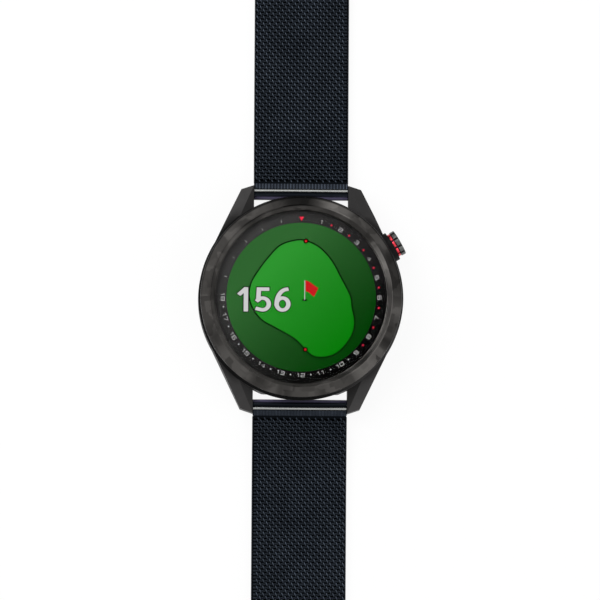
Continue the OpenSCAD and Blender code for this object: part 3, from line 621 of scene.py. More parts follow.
def bezel_finish(tint, bore, crest, rim):
    """Polished bezel with painted light and shade: painted highlights and painted shade on its slope and on
    its bevel, and square patches of painted reflection.

    The broad painted reflection is noise on the direction out from the axis, so that it runs straight
    across each face, and the bevel inside the crest has its own. A thin painted highlight follows parts of
    the lens opening, painted shade darkens the crest at the upper left, and a painted shadow line follows
    the upper half of the rim.
    """
    material, tree, shader = new_material("bezel_polish_and_painted_light")
    x, y, _ = object_place(tree)
    radius = axis_distance(tree, x, y)
    right, top = math_node(tree, "DIVIDE", x, radius), math_node(tree, "DIVIDE", y, radius)
    inside = math_node(tree, "LESS_THAN", radius, crest)
    # Painted reflection: broad and square patches of light and dark on the polished faces
    wide = noise_node(tree, vector_node(tree, right, top, inside), 3.6, 0)
    small = block_node(tree, x, y, radius)
    painted_reflection_patches = times_plus(tree, ramp_node(tree, wide, 0.38, 0.62), 0.4, times_plus(tree, small, 0.72, 0.42))
    # Painted highlight along the lens opening
    opening = ramp_node(tree, radius, bore + 0.32 * MM, bore + 0.16 * MM)
    painted_reflection_patches = times_plus(tree, opening, spread_node(tree, right, top, 0.0, OPENING_PAINTED_LIGHT), painted_reflection_patches)
    # Painted light and shade around the slope and the bevel
    slope = spread_node(tree, right, top, 0.92, SLOPE_PAINTED_LIGHT)
    bevel = spread_node(tree, right, top, 0.82, BEVEL_PAINTED_LIGHT)
    face = times_plus(tree, inside, minus(tree, bevel, slope), slope)
    # Painted shade on the crest at the upper left
    ridge = math_node(tree, "ABSOLUTE", minus(tree, radius, crest))
    ridge = ramp_node(tree, ridge, 0.25 * MM, 0.1 * MM)
    face = times_plus(tree, ridge, spread_node(tree, right, top, 0.0, CREST_PAINTED_SHADE), face)
    # Painted shadow line along the upper half of the rim
    outline = ramp_node(tree, radius, rim - 0.45 * MM, rim - 0.2 * MM)
    outline = times(tree, outline, ramp_node(tree, top, -0.2, 0.5))
    face = times(tree, face, times_plus(tree, outline, -0.8, 1.0))
    tree.links.new(toned(tree, tint, times(tree, face, painted_reflection_patches)), shader.inputs["Base Color"])
    tree.links.new(times_plus(tree, small, -0.08, 0.26), shader.inputs["Roughness"])
    shader.inputs["Metallic"].default_value = 1.0
    return material


def case_finish(tint, rim, button):
    """Moulded case with painted shade, darker where less light comes to it.

    These are the lip around the bezel, the faces turned to the strap, the button's guard and the roots of
    the lugs, least at the lower right. Painted shade also darkens the lugs at the upper right and the lower
    left all over.
    """
    material, tree, shader = new_material("case_moulded")
    x, y, z = object_place(tree)
    radius = axis_distance(tree, x, y)
    lip_top = ramp_node(tree, z, 7.2 * MM, 7.4 * MM)
    lip = times(tree, ramp_node(tree, radius, rim - 0.1 * MM, rim), lip_top)
    lip = minus(tree, lip, ramp_node(tree, radius, rim + 0.45 * MM, rim + 0.7 * MM))
    lip = times(tree, lip, times_plus(tree, ramp_node(tree, x, 4 * MM, 14 * MM), -0.65, 1.12))
    turned_in = times(tree, times(tree, x, -1.0), object_place(tree, "Normal")[0])
    facet = times(tree, ramp_node(tree, turned_in, 0.5 * MM, 2.5 * MM), 0.6)
    out = times_plus(tree, x, button[0], times(tree, y, button[1]))
    along = times_plus(tree, y, button[0], times(tree, x, -button[1]))
    beside = ramp_node(tree, math_node(tree, "ABSOLUTE", along), 3.5 * MM, 3.3 * MM)
    guard = times(tree, ramp_node(tree, out, 21.2 * MM, 21.5 * MM), beside)
    rising = times(tree, math_node(tree, "ADD", x, y), math.sqrt(0.5))
    falling = times(tree, minus(tree, x, y), math.sqrt(0.5))
    lug_start, lug_end = 17 * MM, 21 * MM
    upper_right = times(tree, ramp_node(tree, rising, lug_start, lug_end), 0.5)
    lower_left = times(tree, ramp_node(tree, rising, -lug_start, -lug_end), 0.22)
    root = ramp_node(tree, radius, rim + 2.6 * MM, rim + 0.4 * MM)
    root = times(tree, root, ramp_node(tree, math_node(tree, "ABSOLUTE", x), 11 * MM, 15 * MM))
    root = times(tree, root, times_plus(tree, ramp_node(tree, falling, lug_start, lug_end), -0.6, 0.8))
    # Painted shade: the largest of these masks darkens the case's colour
    dark = largest(tree, lip, facet, guard, root, upper_right, lower_left)
    shade = toned(tree, tint, times_plus(tree, dark, -0.85, 1.0))
    lay_grain(tree, shader, shade, 0.45, grain=0.25, tone=0.35, rough_change=0.2, bump=0.006, edge=0.18)
    shader.inputs["Specular IOR Level"].default_value = 0.05
    return material


def wire_finish(tint):
    """Plated wire with painted light: painted glints where it comes to the strap's face, and painted shade
    between the rows.
    """
    material, tree, shader = new_material("strap_wire")
    crest = tree.nodes.new("ShaderNodeAttribute")
    crest.attribute_name = "crest"
    painted_glint = ramp_node(tree, crest.outputs["Fac"], 0.7, 1.0)
    shade = toned(tree, tint, times_plus(tree, painted_glint, 1.75, 0.98))
    lay_grain(tree, shader, shade, 0.3, grain=0.3, tone=0.9, rough_change=0.3, bump=0.002, edge=0.02)
    shader.inputs["Metallic"].default_value = 1.0
    return material


def link_finish(tint, painted_reflection_tint, bar):
    """Plated end link with painted light: painted shade makes it near black beside the bead, and a painted
    reflection makes the side of its tube that faces the case lighter, violet and not metallic.

    Both follow the distance from the spring bar along the strap.
    """
    material, tree, shader = new_material("link_plated")
    along = minus(tree, math_node(tree, "ABSOLUTE", object_place(tree)[1]), bar)
    # Painted reflection on the side of the tube that faces the case
    painted_reflection = ramp_node(tree, along, -0.2 * MM, -0.75 * MM)
    # Painted shade beside the bead
    dark = ramp_node(tree, along, -0.3 * MM, 0.35 * MM)
    shade = toned(tree, tint, times_plus(tree, dark, -0.75, 1.0))
    shade = mixed(tree, painted_reflection, shade, painted_reflection_tint)
    lay_grain(tree, shader, shade, 0.3, grain=0.3, tone=0.5, rough_change=0.15, bump=0.001, edge=0.16)
    tree.links.new(minus(tree, 1.0, painted_reflection), shader.inputs["Metallic"])
    return material


def faded(name, near, far, lit, start=-9 * MM, end=15 * MM):
    """Dial finish with painted lens glare, which fades from the upper left to the lower right, lit from
    within or plain.
    """
    material, tree, shader = new_material(name)
    values = {"Upper Left": near, "Lower Right": far, "Start": start, "End": end}
    glare_node = place_group(tree, fade_group(), values)
    target = "Emission Color" if lit else "Base Color"
    tree.links.new(glare_node.outputs["Color"], shader.inputs[target])
    shader.inputs["Roughness"].default_value = 0.5
    shader.inputs["Specular IOR Level"].default_value = 0.0
    if lit:
        shader.inputs["Base Color"].default_value = (0.0, 0.0, 0.0, 1.0)
        shader.inputs["Emission Strength"].default_value = 1.0
    return material


def clear_glass(name):
    """Lens glass with a faint reflection, which lets lamp light through to the dial."""
    material, tree, shader = new_material(name)
    shader.inputs["Base Color"].default_value = (1.0, 1.0, 1.0, 1.0)
    shader.inputs["Roughness"].default_value = 0.0
    shader.inputs["IOR"].default_value = 1.07
    shader.inputs["Transmission Weight"].default_value = 1.0
    passing = tree.nodes.new("ShaderNodeBsdfTransparent")
    rays = tree.nodes.new("ShaderNodeLightPath")
    mix_surface(tree, rays.outputs["Is Shadow Ray"], shader.outputs["BSDF"], passing.outputs["BSDF"])
    return material


def dress(material, *names):
    """Gives CAD nodes a material."""
    for name in names:
        slots = frame["nodes"][name].data.materials
        slots.clear()
        slots.append(material)


# Strap geometry


def stretch_count(half):
    """Number of bending stretches in a strap half."""
    return sum(name.startswith(f"{half}_mesh_") for name in frame["nodes"])


def strap_hinges(half):
    """Distances from the case's middle and heights of a half's spring bar, bends and weave end."""
    count = stretch_count(half)
    names = [f"{half}_swing", f"{half}_curl"] + [f"{half}_curl_{k}" for k in range(2, count + 1)]
    places = np.array([[abs(JOINTS[name]["pos_m"][1]), JOINTS[name]["pos_m"][2]] for name in names])
    low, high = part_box(f"{half}_mesh_{count:02d}")
    return np.concatenate([places, [[max(abs(low[1]), abs(high[1])), places[-1, 1]]]])


def strap_stations(half):
    """Lengths along the strap, from the spring bar, of the half's hinges and its weave's end."""
    return np.concatenate([[0.0], np.cumsum(np.linalg.norm(np.diff(strap_hinges(half), axis=0), axis=1))])


def span(name, axis):
    """Size of a CAD node along one axis of the frame."""
    low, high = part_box(name)
    return high[axis] - low[axis]


def strap_points(half, across, along, above, ease=4 * MM):
    """Points of a strap half from lengths across it, along it and above its middle.

    The middle line joins the hinges. It is averaged over a short length to both sides, so that it bends
    smoothly, and points stand off it at right angles.
    """
    hinges, stations = strap_hinges(half), strap_stations(half)
    lead = (hinges[0] - hinges[1]) / stations[1]
    tail = (hinges[-1] - hinges[-2]) / (stations[-1] - stations[-2])
    reach = 30 * MM
    knots = np.concatenate([[stations[0] - reach], stations, [stations[-1] + reach]])
    line = np.concatenate([[hinges[0] + lead * reach], hinges, [hinges[-1] + tail * reach]])
    across, along, above = np.broadcast_arrays(across, along, above)
    window = along[..., None] + np.linspace(-ease, ease, 17)
    out = np.interp(window, knots, line[:, 0]).mean(-1)
    up = np.interp(window, knots, line[:, 1]).mean(-1)
    ahead, behind = (np.interp(along + shift, knots, line[:, 1]) for shift in (ease, -ease))
    rise = (ahead - behind) / (2 * ease)
    run = np.sqrt(1 - rise * rise)
    side = HALVES[half]
    return np.stack([side * across, side * (out - above * rise), up + above * run], -1)


def row_numbers(half, low, high, weave):
    """Numbers of the rows of wire whose middles lie between two lengths along a strap half."""
    start = strap_stations(half)[1]
    first, last = (math.ceil((end - start) / weave.row_pitch - 0.5) for end in (low, high))
    return np.arange(first, last)


def weave_rows(half, low, high, weave):
    """Coils of the rows between two lengths along a strap half.

    A coil goes round a flat oval while it crosses the strap: x grows with the turn t, the place along the
    strap is the cosine of t and the height is its sine. Every second row starts half a turn's width further
    on. The wire is a circle carried along the coil. The crest of a point is its height as a share of half
    the strap's thickness, and a little less near the end link. The crest sets the wire's painted glints and
    painted shade.
    """
    start = strap_stations(half)[1]
    width = span(f"{half}_mesh_01", 0) + 2 * weave.side
    thickness = span(f"{half}_mesh_02", 2)
    wire = weave.wire / 2
    step = (width - 2 * wire) / (weave.turns + 0.5)
    row = row_numbers(half, low, high, weave)[:, None, None]
    turn = np.linspace(0, TURN * weave.turns, weave.turns * weave.rings + 1)[None, :, None]
    around = full_turn(weave.sides)[None, None, :]
    reach, lift = weave.reach, thickness / 2 - wire - 0.01 * MM
    across = step * (turn / TURN - weave.turns / 2) + step / 4 * np.where(row % 2 == 0, 1, -1)
    along = start + (row + 0.5) * weave.row_pitch + reach * np.cos(turn)
    above = lift * np.sin(turn)
    out = np.hypot(lift * np.cos(turn), reach * np.sin(turn))
    out_along, out_above = lift * np.cos(turn) / out, reach * np.sin(turn) / out
    pace = step / TURN
    speed = np.sqrt(pace**2 + (reach * np.sin(turn)) ** 2 + (lift * np.cos(turn)) ** 2)
    go_across, go_along = pace / speed, -reach * np.sin(turn) / speed
    go_above = lift * np.cos(turn) / speed
    side_across = go_along * out_above - go_above * out_along
    side_along = -go_across * out_above
    side_above = go_across * out_along
    wave, swing = wire * np.cos(around), wire * np.sin(around)
    height = above + wave * out_above + swing * side_above
    wire_across = across + swing * side_across
    wire_along = along + wave * out_along + swing * side_along
    points = strap_points(half, wire_across, wire_along, height)
    # The painted glints fade a little towards the end link
    away = np.clip((along - start) / (14 * MM), 0, 1)
    crest = np.abs(height) / (thickness / 2) * (0.88 + 0.12 * away)
    return [capped_grid(coil) for coil in points], np.broadcast_to(crest, points.shape[:-1]).ravel()


def cross_rods(half, low, high, weave):
    """Straight rods inside the coils, one to a row: a circle carried across the strap."""
    start = strap_stations(half)[1]
    reach = span(f"{half}_mesh_01", 0) / 2 + weave.side - weave.edge_wire
    rows = row_numbers(half, low, high, weave)
    middle = (start + (rows + 0.5) * weave.row_pitch)[:, None, None]
    across = np.array([-reach, reach])[None, :, None]
    around = full_turn(8)[None, None, :]
    radius = weave.rod / 2
    points = strap_points(half, across, middle + radius * np.cos(around), radius * np.sin(around))
    return [capped_grid(rod) for rod in points]


def edge_wires(half, low, high, weave):
    """Straight wires along both sides of the weave: a high oval carried along the strap."""
    radius, stretch = weave.edge_wire / 2, 2.2
    along = np.linspace(low, high, 21)[:, None]
    around = full_turn(8)[None, :]
    parts = []
    for side in (-1, 1):
        middle = side * (span(f"{half}_mesh_01", 0) / 2 + weave.side - radius)
        across = middle + radius * np.cos(around)
        parts.append(capped_grid(strap_points(half, across, along, stretch * radius * np.sin(around))))
    return parts


# Strokes of the digits, in a cell one wide and one high


def arc(centre, radii, first, last, steps=14):
    """Points of an oval arc between two angles in degrees."""
    angle = np.radians(np.linspace(first, last, steps))
    x, y = centre[0] + radii[0] * np.cos(angle), centre[1] + radii[1] * np.sin(angle)
    return list(zip(x, y))


SQUARE_DIGITS = {
    "0": [[(0, 0), (0, 1), (1, 1), (1, 0), (0, 0)]],
    "1": [[(0.2, 0.78), (0.55, 1), (0.55, 0)]],
    "2": [[(0, 1), (1, 1), (1, 0.5), (0, 0.5), (0, 0), (1, 0)]],
    "3": [[(0, 1), (1, 1), (1, 0), (0, 0)], [(0.25, 0.5), (1, 0.5)]],
    "4": [[(1, 0.28), (0, 0.28), (0.72, 1), (0.72, 0)]],
    "5": [[(1, 1), (0, 1), (0, 0.52), (1, 0.52), (1, 0), (0, 0)]],
    "6": [[(1, 1), (0, 1), (0, 0), (1, 0), (1, 0.52), (0, 0.52)]],
    "7": [[(0, 1), (1, 1), (0.4, 0)]],
    "8": [[(0, 0), (0, 1), (1, 1), (1, 0), (0, 0)], [(0, 0.52), (1, 0.52)]],
    "9": [[(0, 0), (1, 0), (1, 1), (0, 1), (0, 0.48), (1, 0.48)]],
}

ROUND_DIGITS = {
    "1": [[(0.61, 1), (0.61, 0)], [(0.12, 0.78), (0.52, 0.98)]],
    "5": [[(0.8, 1), (0.1, 1), (0.05, 0.5)], arc((0.42, 0.285), (0.53, 0.285), 140, -100) + [(0, 0.05)]],
    "6": [arc((0.9, 0.3), (0.9, 0.7), 95, 180) + arc((0.5, 0.289), (0.5, 0.289), 183, 540, 24)],
}


def placed(points, centre, angle):
    """Flat points turned clockwise by an angle and moved to a centre."""
    x, y = np.asarray(points, float).T
    c, s = math.cos(angle), math.sin(angle)
    return np.column_stack([x * c + y * s, y * c - x * s]) + centre


def number_parts(text, width, height, gap, line, centre, angle, low, high, digits, flatten=1.0):
    """Parts of a number: the strokes of its digits, side by side around a centre.

    Flattening makes the number higher first and presses it back, so that lines across it come out thinner.
    A digit that the set lacks is a square one.
    """
    height = height / flatten
    total = len(text) * width + (len(text) - 1) * gap
    parts = []
    for index, digit in enumerate(text):
        left = index * (width + gap) - total / 2
        for path in digits.get(digit, SQUARE_DIGITS[digit]):
            flat = np.array(path) * (width - line, height - line) + (left + line / 2, (line - height) / 2)
            points, faces = stroke(flat, line, low, high)
            flat = placed(points[:, :2] * (1, flatten), centre, angle)
            parts.append((np.column_stack([flat, points[:, 2]]), faces))
    return parts


def on_ring(radius, angle):
    """Point on the dial at a clockwise angle from 12 o'clock."""
    return np.array([radius * math.sin(angle), radius * math.cos(angle)])


def smooth_loop(points, steps=8):
    """Closed curve through points: each stretch is the cubic of its two ends and their neighbours."""
    p = np.asarray(points, float)[:, None, :]
    t = (np.arange(steps) / steps)[None, :, None]
    before, after, beyond = np.roll(p, 1, 0), np.roll(p, -1, 0), np.roll(p, -2, 0)
    curve = 2 * p + (after - before) * t + (2 * before - 5 * p + 4 * after - beyond) * t**2
    curve = curve + (3 * p - before - 3 * after + beyond) * t**3
    return (curve / 2).reshape(-1, 2)


# Picture on the screen, in millimetres from the watch's axis

GREEN_EDGE = (
    *((-1.3, 12.1), (1.0, 12.0), (3.9, 10.6), (6.5, 7.8), (8.6, 4.0), (10.5, 0.3), (10.8, -2.0)),
    *((11.4, -5.2), (10.7, -8.2), (8.5, -11.1), (6.1, -12.5), (3.3, -12.7), (1.6, -11.8), (-0.4, -9.7)),
    *((-1.9, -8.5), (-5.3, -6.6), (-8.3, -4.9), (-10.2, -2.5), (-11, 0.2), (-10.6, 3.0), (-9.1, 5.6)),
    *((-7.1, 8.3), (-4.5, 11)),
)
FLAG_POLE = ((0.76, -0.5), (0.76, 3.5))
TEES = ((0.95, 11.93), (0.95, -11.1))
DISTANCE_CENTRE = (-7.94, -0.56)
DISTANCE_DIGIT = {"width": 3.42, "height": 5.14, "gap": 0.59}


# Operators


class GOLFWATCH_OT_bezel(bpy.types.Operator):
    """Bezel: a profile with rounded corners, turned around the watch's axis."""

    bl_idname = "golfwatch.bezel"
    bl_label = "Bezel"

    def execute(self, context):
        """The profile runs up the skirt, over the rim and the crest, and down to the lens's ledge."""
        settings, colours = context.scene.golf_watch.bezel, context.scene.golf_watch.colours
        low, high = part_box("bezel")
        rim, top = high[0], high[2]
        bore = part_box("lens")[1][0] + settings.lens_gap
        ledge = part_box("lens")[1][0] - settings.ledge_width
        skirt = ledge + settings.skirt_wall
        seat = low[2] + settings.skirt_height
        ledge_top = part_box("lens_gasket")[0][2]
        crest, edge = settings.crest_round, settings.edge_round
        profile = rounded(
            [
                (ledge, low[2], 0),
                (skirt, low[2], 0),
                (skirt, seat, 0),
                (rim, seat, edge / 3),
                (rim, top - settings.fall, edge),
                (bore + settings.crest_width, top + crest * 0.06, crest),
                (bore, top - settings.lens_drop - 0.2 * MM, crest),
                (bore, ledge_top, 0),
                (ledge, ledge_top, 0),
            ]
        )
        finish = bezel_finish(colours.bezel, bore, bore + settings.crest_width, rim)
        ring = ring_grid(turned(profile, settings.segments))
        piece = put_mesh("bezel_ring", [ring], finish, "bezel_metal", sharp=35)
        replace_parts(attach(piece, "case"), "bezel")
        return {"FINISHED"}


class GOLFWATCH_OT_lens(bpy.types.Operator):
    """Lens: a flat glass with rounded edges, turned around the watch's axis."""

    bl_idname = "golfwatch.lens"
    bl_label = "Lens"

    def execute(self, context):
        """The profile runs from the underside around the edge to the top, and flat faces close it."""
        settings = context.scene.golf_watch.bezel
        low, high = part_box("lens")
        rim, round_off, under_round = high[0], 0.2 * MM, 0.05 * MM
        share = np.linspace(0, math.pi / 2, 7)
        under = low[2] + settings.glass_lift
        shoulder = np.array([rim - round_off, high[2] - round_off])
        top = shoulder + round_off * np.column_stack([np.cos(share), np.sin(share)])
        bottom = [[rim - under_round, under], [rim, under + under_round]]
        profile = np.concatenate([bottom, top, [[rim - 2 * round_off, high[2]]]])
        glass = capped_grid(turned(profile, settings.segments))
        piece = put_mesh("lens_glass", [glass], clear_glass("lens_clear"), "lens_glass", sharp=30)
        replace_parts(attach(piece, "case"), "lens")
        return {"FINISHED"}


class GOLFWATCH_OT_dial(bpy.types.Operator):
    """Dial ring: hole numbers, dots between them, plain ticks and an index at 12 o'clock."""

    bl_idname = "golfwatch.dial"
    bl_label = "Dial ring"

    holes: IntProperty(name="Holes", description="Holes around the ring", default=18, min=1, max=22)

    def execute(self, context):
        """Hole n stands n times 15 degrees clockwise from 12 o'clock, and reads from outside from 7 on."""
        dial, colours = context.scene.golf_watch.dial, context.scene.golf_watch.colours
        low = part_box("number_ring")[1][2]
        high = low + dial.print_height
        places, turned_round, grey_share = 24, 7, 0.65
        step = TURN / places
        numbers, red_dots, grey_dots, ticks = [], [], [], []
        for hole in range(1, self.holes + 1):
            angle = hole * step
            facing = angle if hole < turned_round else angle + math.pi
            spot = on_ring(dial.number_radius, angle)
            sizes = (dial.number_width, dial.number_height, dial.number_line, dial.number_line)
            numbers += number_parts(str(hole), *sizes, spot, facing, low, high, SQUARE_DIGITS)
            if hole < self.holes:
                middle = on_ring(dial.number_radius, angle + step / 2)
                first_half = hole < self.holes / 2
                radius = dial.dot_radius * (1.0 if first_half else grey_share)
                dots = red_dots if first_half else grey_dots
                dots.append(disc(middle, radius, low, high))
        tick_half = 0.3 * dial.number_height
        for place in range(self.holes + 1, places):
            bar = np.array([(0, -tick_half), (0, tick_half)])
            spot = on_ring(dial.number_radius, place * step)
            ticks.append(stroke(placed(bar, spot, place * step), dial.number_line, low, high))
        peak = dial.number_radius - 0.45 * dial.number_height
        index_half, index_top = 0.5 * MM, peak + 0.85 * MM
        index = np.array([(0, peak), (index_half, index_top), (-index_half, index_top)])
        look = {"grain": 0.15, "tone": 0.2, "bump": 0.0, "edge": 0.01, "shine": 0}
        light = grained("ring_light_print", colours.lettering, 0.0, 0.5, **look)
        red = grained("ring_red_print", colours.mark, 0.0, 0.5, **look)
        pieces = {
            "ring_numbers": (numbers + grey_dots + ticks, light),
            "ring_marks": (red_dots + [prism(index, low, high)], red),
        }
        for name, (parts, finish) in pieces.items():
            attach(put_mesh(name, parts, finish, "dial_print", sharp=20), "case")
        # Dark ring ink, made lighter at the upper left by painted lens glare
        near, far, reach = (0.0205, 0.0202, 0.02), (0.0009,) * 3, 17 * MM
        dress(faded("ring_ink_and_painted_glare", near, far, lit=False, start=-reach, end=reach), "number_ring")
        return {"FINISHED"}


class GOLFWATCH_OT_screen(bpy.types.Operator):
    """Screen: a hole map with its green, a flag and a distance in plain digits."""

    bl_idname = "golfwatch.screen"
    bl_label = "Screen"

    distance: IntProperty(name="Distance", description="Distance shown", default=156, min=0, max=999)

    def execute(self, context):
        """Each part of the picture is a thin piece on the panel, a little above the part under it."""
        dial, colours = context.scene.golf_watch.dial, context.scene.golf_watch.colours
        base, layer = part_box("display_panel")[1][2], 0.006 * MM
        levels = [(base + k * layer, base + (k + 1) * layer) for k in range(6)]
        dress(faded("screen_rough", colours.rough_near, colours.rough_far, lit=True), "display_panel")
        green = MM * smooth_loop(GREEN_EDGE)[::-1]
        pole, tees = MM * np.array(FLAG_POLE), MM * np.array(TEES)
        outline = [stroke(green, dial.outline_width, *levels[1], closed=True)]
        outline += [disc(tee, 0.56 * MM, *levels[1]) for tee in tees]
        outline.append(prism(self.cup(pole[0]), *levels[1]))
        marks = [disc(tee, 0.26 * MM, *levels[2]) for tee in tees] + [prism(self.flag(), *levels[2])]
        lettering = (colours.lettering[0] * 1.5,) * 3
        # Each pair of tints runs from the upper left to the lower right of the screen; where they differ,
        # that is painted lens glare
        shown = {
            "screen_green": ([prism(green, *levels[0])], (colours.green_near, colours.green_far)),
            "screen_outline": (outline, ((0.001, 0.003, 0.001), (0.0, 0.002, 0.0))),
            "screen_marks": (marks, ((0.58, 0.012, 0.014), (0.5, 0.008, 0.012))),
            "screen_pole": ([stroke(pole, 0.14 * MM, *levels[3])], (lettering, lettering)),
        }
        width, height, gap = (size * MM for size in DISTANCE_DIGIT.values())
        centre = MM * np.array(DISTANCE_CENTRE)
        rims = {
            "edge": (2 * dial.digit_edge, levels[4], (0.004, 0.012, 0.004)),
            "face": (0, levels[5], lettering),
        }
        for name, (extra, level, tint) in rims.items():
            sizes = (width + extra, height + extra, gap - extra, dial.digit_line + extra)
            parts = number_parts(str(self.distance), *sizes, centre, 0, *level, ROUND_DIGITS, flatten=0.78)
            shown[f"screen_digits_{name}"] = (parts, (tint, tint))
        for name, (parts, tints) in shown.items():
            finish = faded(f"{name}_light", *tints, lit=True)
            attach(put_mesh(name, parts, finish, "display_face", sharp=20), "case")
        return {"FINISHED"}

    def flag(self):
        """Outline of the flag: two edges that fall away from the pole and sway with a sine."""
        share = np.linspace(0, 1, 9)
        sway = 0.14 * np.sin(share * math.pi * 1.6)
        top = np.column_stack([0.87 + 2.78 * share, 3.6 - 1.5 * share + sway])
        bottom = np.column_stack([0.95 + 1.8 * share, 1.25 - 1.0 * share + sway])
        return MM * np.concatenate([bottom, top[::-1]])

    def cup(self, foot):
        """Outline of the hole at the pole's foot, an oval."""
        turn = full_turn(24)
        return foot + MM * np.column_stack([0.6 * np.cos(turn), 0.22 * np.sin(turn) - 0.1])


class GOLFWATCH_OT_button(bpy.types.Operator):
    """Button: blocks around the cap and around the coloured ring, with grooves between them whose dark
    cores are painted shade.
    """

    bl_idname = "golfwatch.button"
    bl_label = "Side button"

    blocks: IntProperty(name="Blocks", description="Blocks around the button", default=10, min=3)

    def execute(self, context):
        """Each block is a rounded profile swept through part of a turn, and the core one turned fully."""
        colours = context.scene.golf_watch.colours
        axis = -np.array(JOINTS["button_press"]["axis"])
        # Painted shade in the grooves: a dark core under the cap's blocks and a violet one under the ring's
        groove_look = {"grain": 0.12, "tone": 0.5, "edge": 0.03, "shine": 0.2}
        dark = grained("groove_painted_shade", (0.012, 0.01, 0.011), 0.0, 0.5, **groove_look)
        grey = grained("cap_satin", (0.085, 0.087, 0.085), 1.0, 0.34, grain=0.12, tone=0.9, edge=0.03)
        red = grained("ring_anodised", colours.accent, 1.0, 0.3, grain=0.12, tone=1.4, edge=0.03)
        violet = grained("ring_groove_painted_shade", (0.09, 0.02, 0.05), 0.0, 0.5, **groove_look)
        looks = {
            "button_cap": (grey, dark, "button_dark", 0.02 * MM),
            "button_ring": (red, violet, "button_red", 0.12 * MM),
        }
        groove, rounding = 0.42 * MM, 0.1 * MM
        share = 0.36 * TURN / self.blocks
        starts = np.arange(self.blocks) * TURN / self.blocks
        arcs = [np.linspace(start - share, start + share, 9) for start in starts]
        for node, (finish, groove_painted_shade_finish, slot, short) in looks.items():
            inner, outer, radius = self.stations(node, axis)
            hub, floor, foot = 0.2 * radius, radius - groove, radius - 2 * groove
            core = np.array([(inner, hub), (inner, floor), (outer, floor), (outer, hub)])
            core = capped_grid(self.swept(node, core, full_turn(80), axis))
            middle = put_mesh(f"{node}_core", [core], groove_painted_shade_finish, slot, sharp=35)
            end = outer - short
            rim = [(inner, foot, 0), (end, foot, 0), (end, radius, rounding), (inner, radius, rounding)]
            profile = rounded(rim, steps=4)
            swept = [self.swept(node, profile, turn, axis).transpose(1, 0, 2) for turn in arcs]
            parts = [capped_grid(rows) for rows in swept]
            blocks = put_mesh(f"{node}_blocks", parts, finish, slot, sharp=35)
            for piece in (middle, blocks):
                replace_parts(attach(piece, "side_button"), node)
        return {"FINISHED"}

    def stations(self, node, axis):
        """Inner and outer ends of a node along the button's axis, and its radius.

        The node is a round piece whose axis lies level, so that its box is as high as it is wide.
        """
        low, high = (np.array(corner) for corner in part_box(node))
        radius = span(node, 2) / 2
        reach = (high + low)[:2] / 2 @ axis[:2]
        across = abs(axis[1]) * radius
        half = ((high[0] - low[0]) / 2 - across) / abs(axis[0])
        return reach - half, reach + half, radius

    def swept(self, node, profile, turn, axis):
        """Profile of places along the axis and radii, turned through angles around the button's axis."""
        low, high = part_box(node)
        side, up = np.cross((0, 0, 1), axis), np.array([0, 0, 1])
        heading = np.cos(turn)[:, None] * up + np.sin(turn)[:, None] * side
        points = profile[:, 0, None, None] * axis + profile[:, 1, None, None] * heading[None]
        return points + np.array([0, 0, (low[2] + high[2]) / 2])


class GOLFWATCH_OT_strap(bpy.types.Operator):
    """Strap: rows of interlinked wire coils, bent from each stretch to the next."""

    bl_idname = "golfwatch.strap"
    bl_label = "Woven strap"

    def execute(self, context):
        """A piece runs from the middle of a stretch to the middle of the next."""
        weave, colours = context.scene.golf_watch.weave, context.scene.golf_watch.colours
        finish = wire_finish(colours.strap)
        for half in HALVES:
            stations = strap_stations(half)
            count = stretch_count(half)
            middles = (stations[1:-1] + stations[2:]) / 2
            bounds = np.concatenate([[stations[1]], middles, [stations[-1]]])
            for k in range(count + 1):
                low, high = bounds[k], bounds[k + 1]
                coils, crest = weave_rows(half, low, high, weave)
                plain = cross_rods(half, low, high, weave) + edge_wires(half, low, high, weave)
                crest = np.concatenate([crest, np.zeros(sum(len(points) for points, _ in plain))])
                name = f"{half}_weave_{k + 1:02d}"
                piece = put_mesh(name, coils + plain, finish, "strap_steel", sharp=80, crest=crest)
                if k == count:
                    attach(piece, f"{half}_band_{count}")
                else:
                    ends = (2 * stations[1] - middles[0] if k == 0 else low, high)
                    start, finish_at = (Vector(strap_points(half, 0.0, end, 0.0)) for end in ends)
                    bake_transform(piece)
                    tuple(start)
                    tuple(finish_at)
                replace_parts(piece, f"{half}_mesh_{min(k + 1, count):02d}")
        return {"FINISHED"}


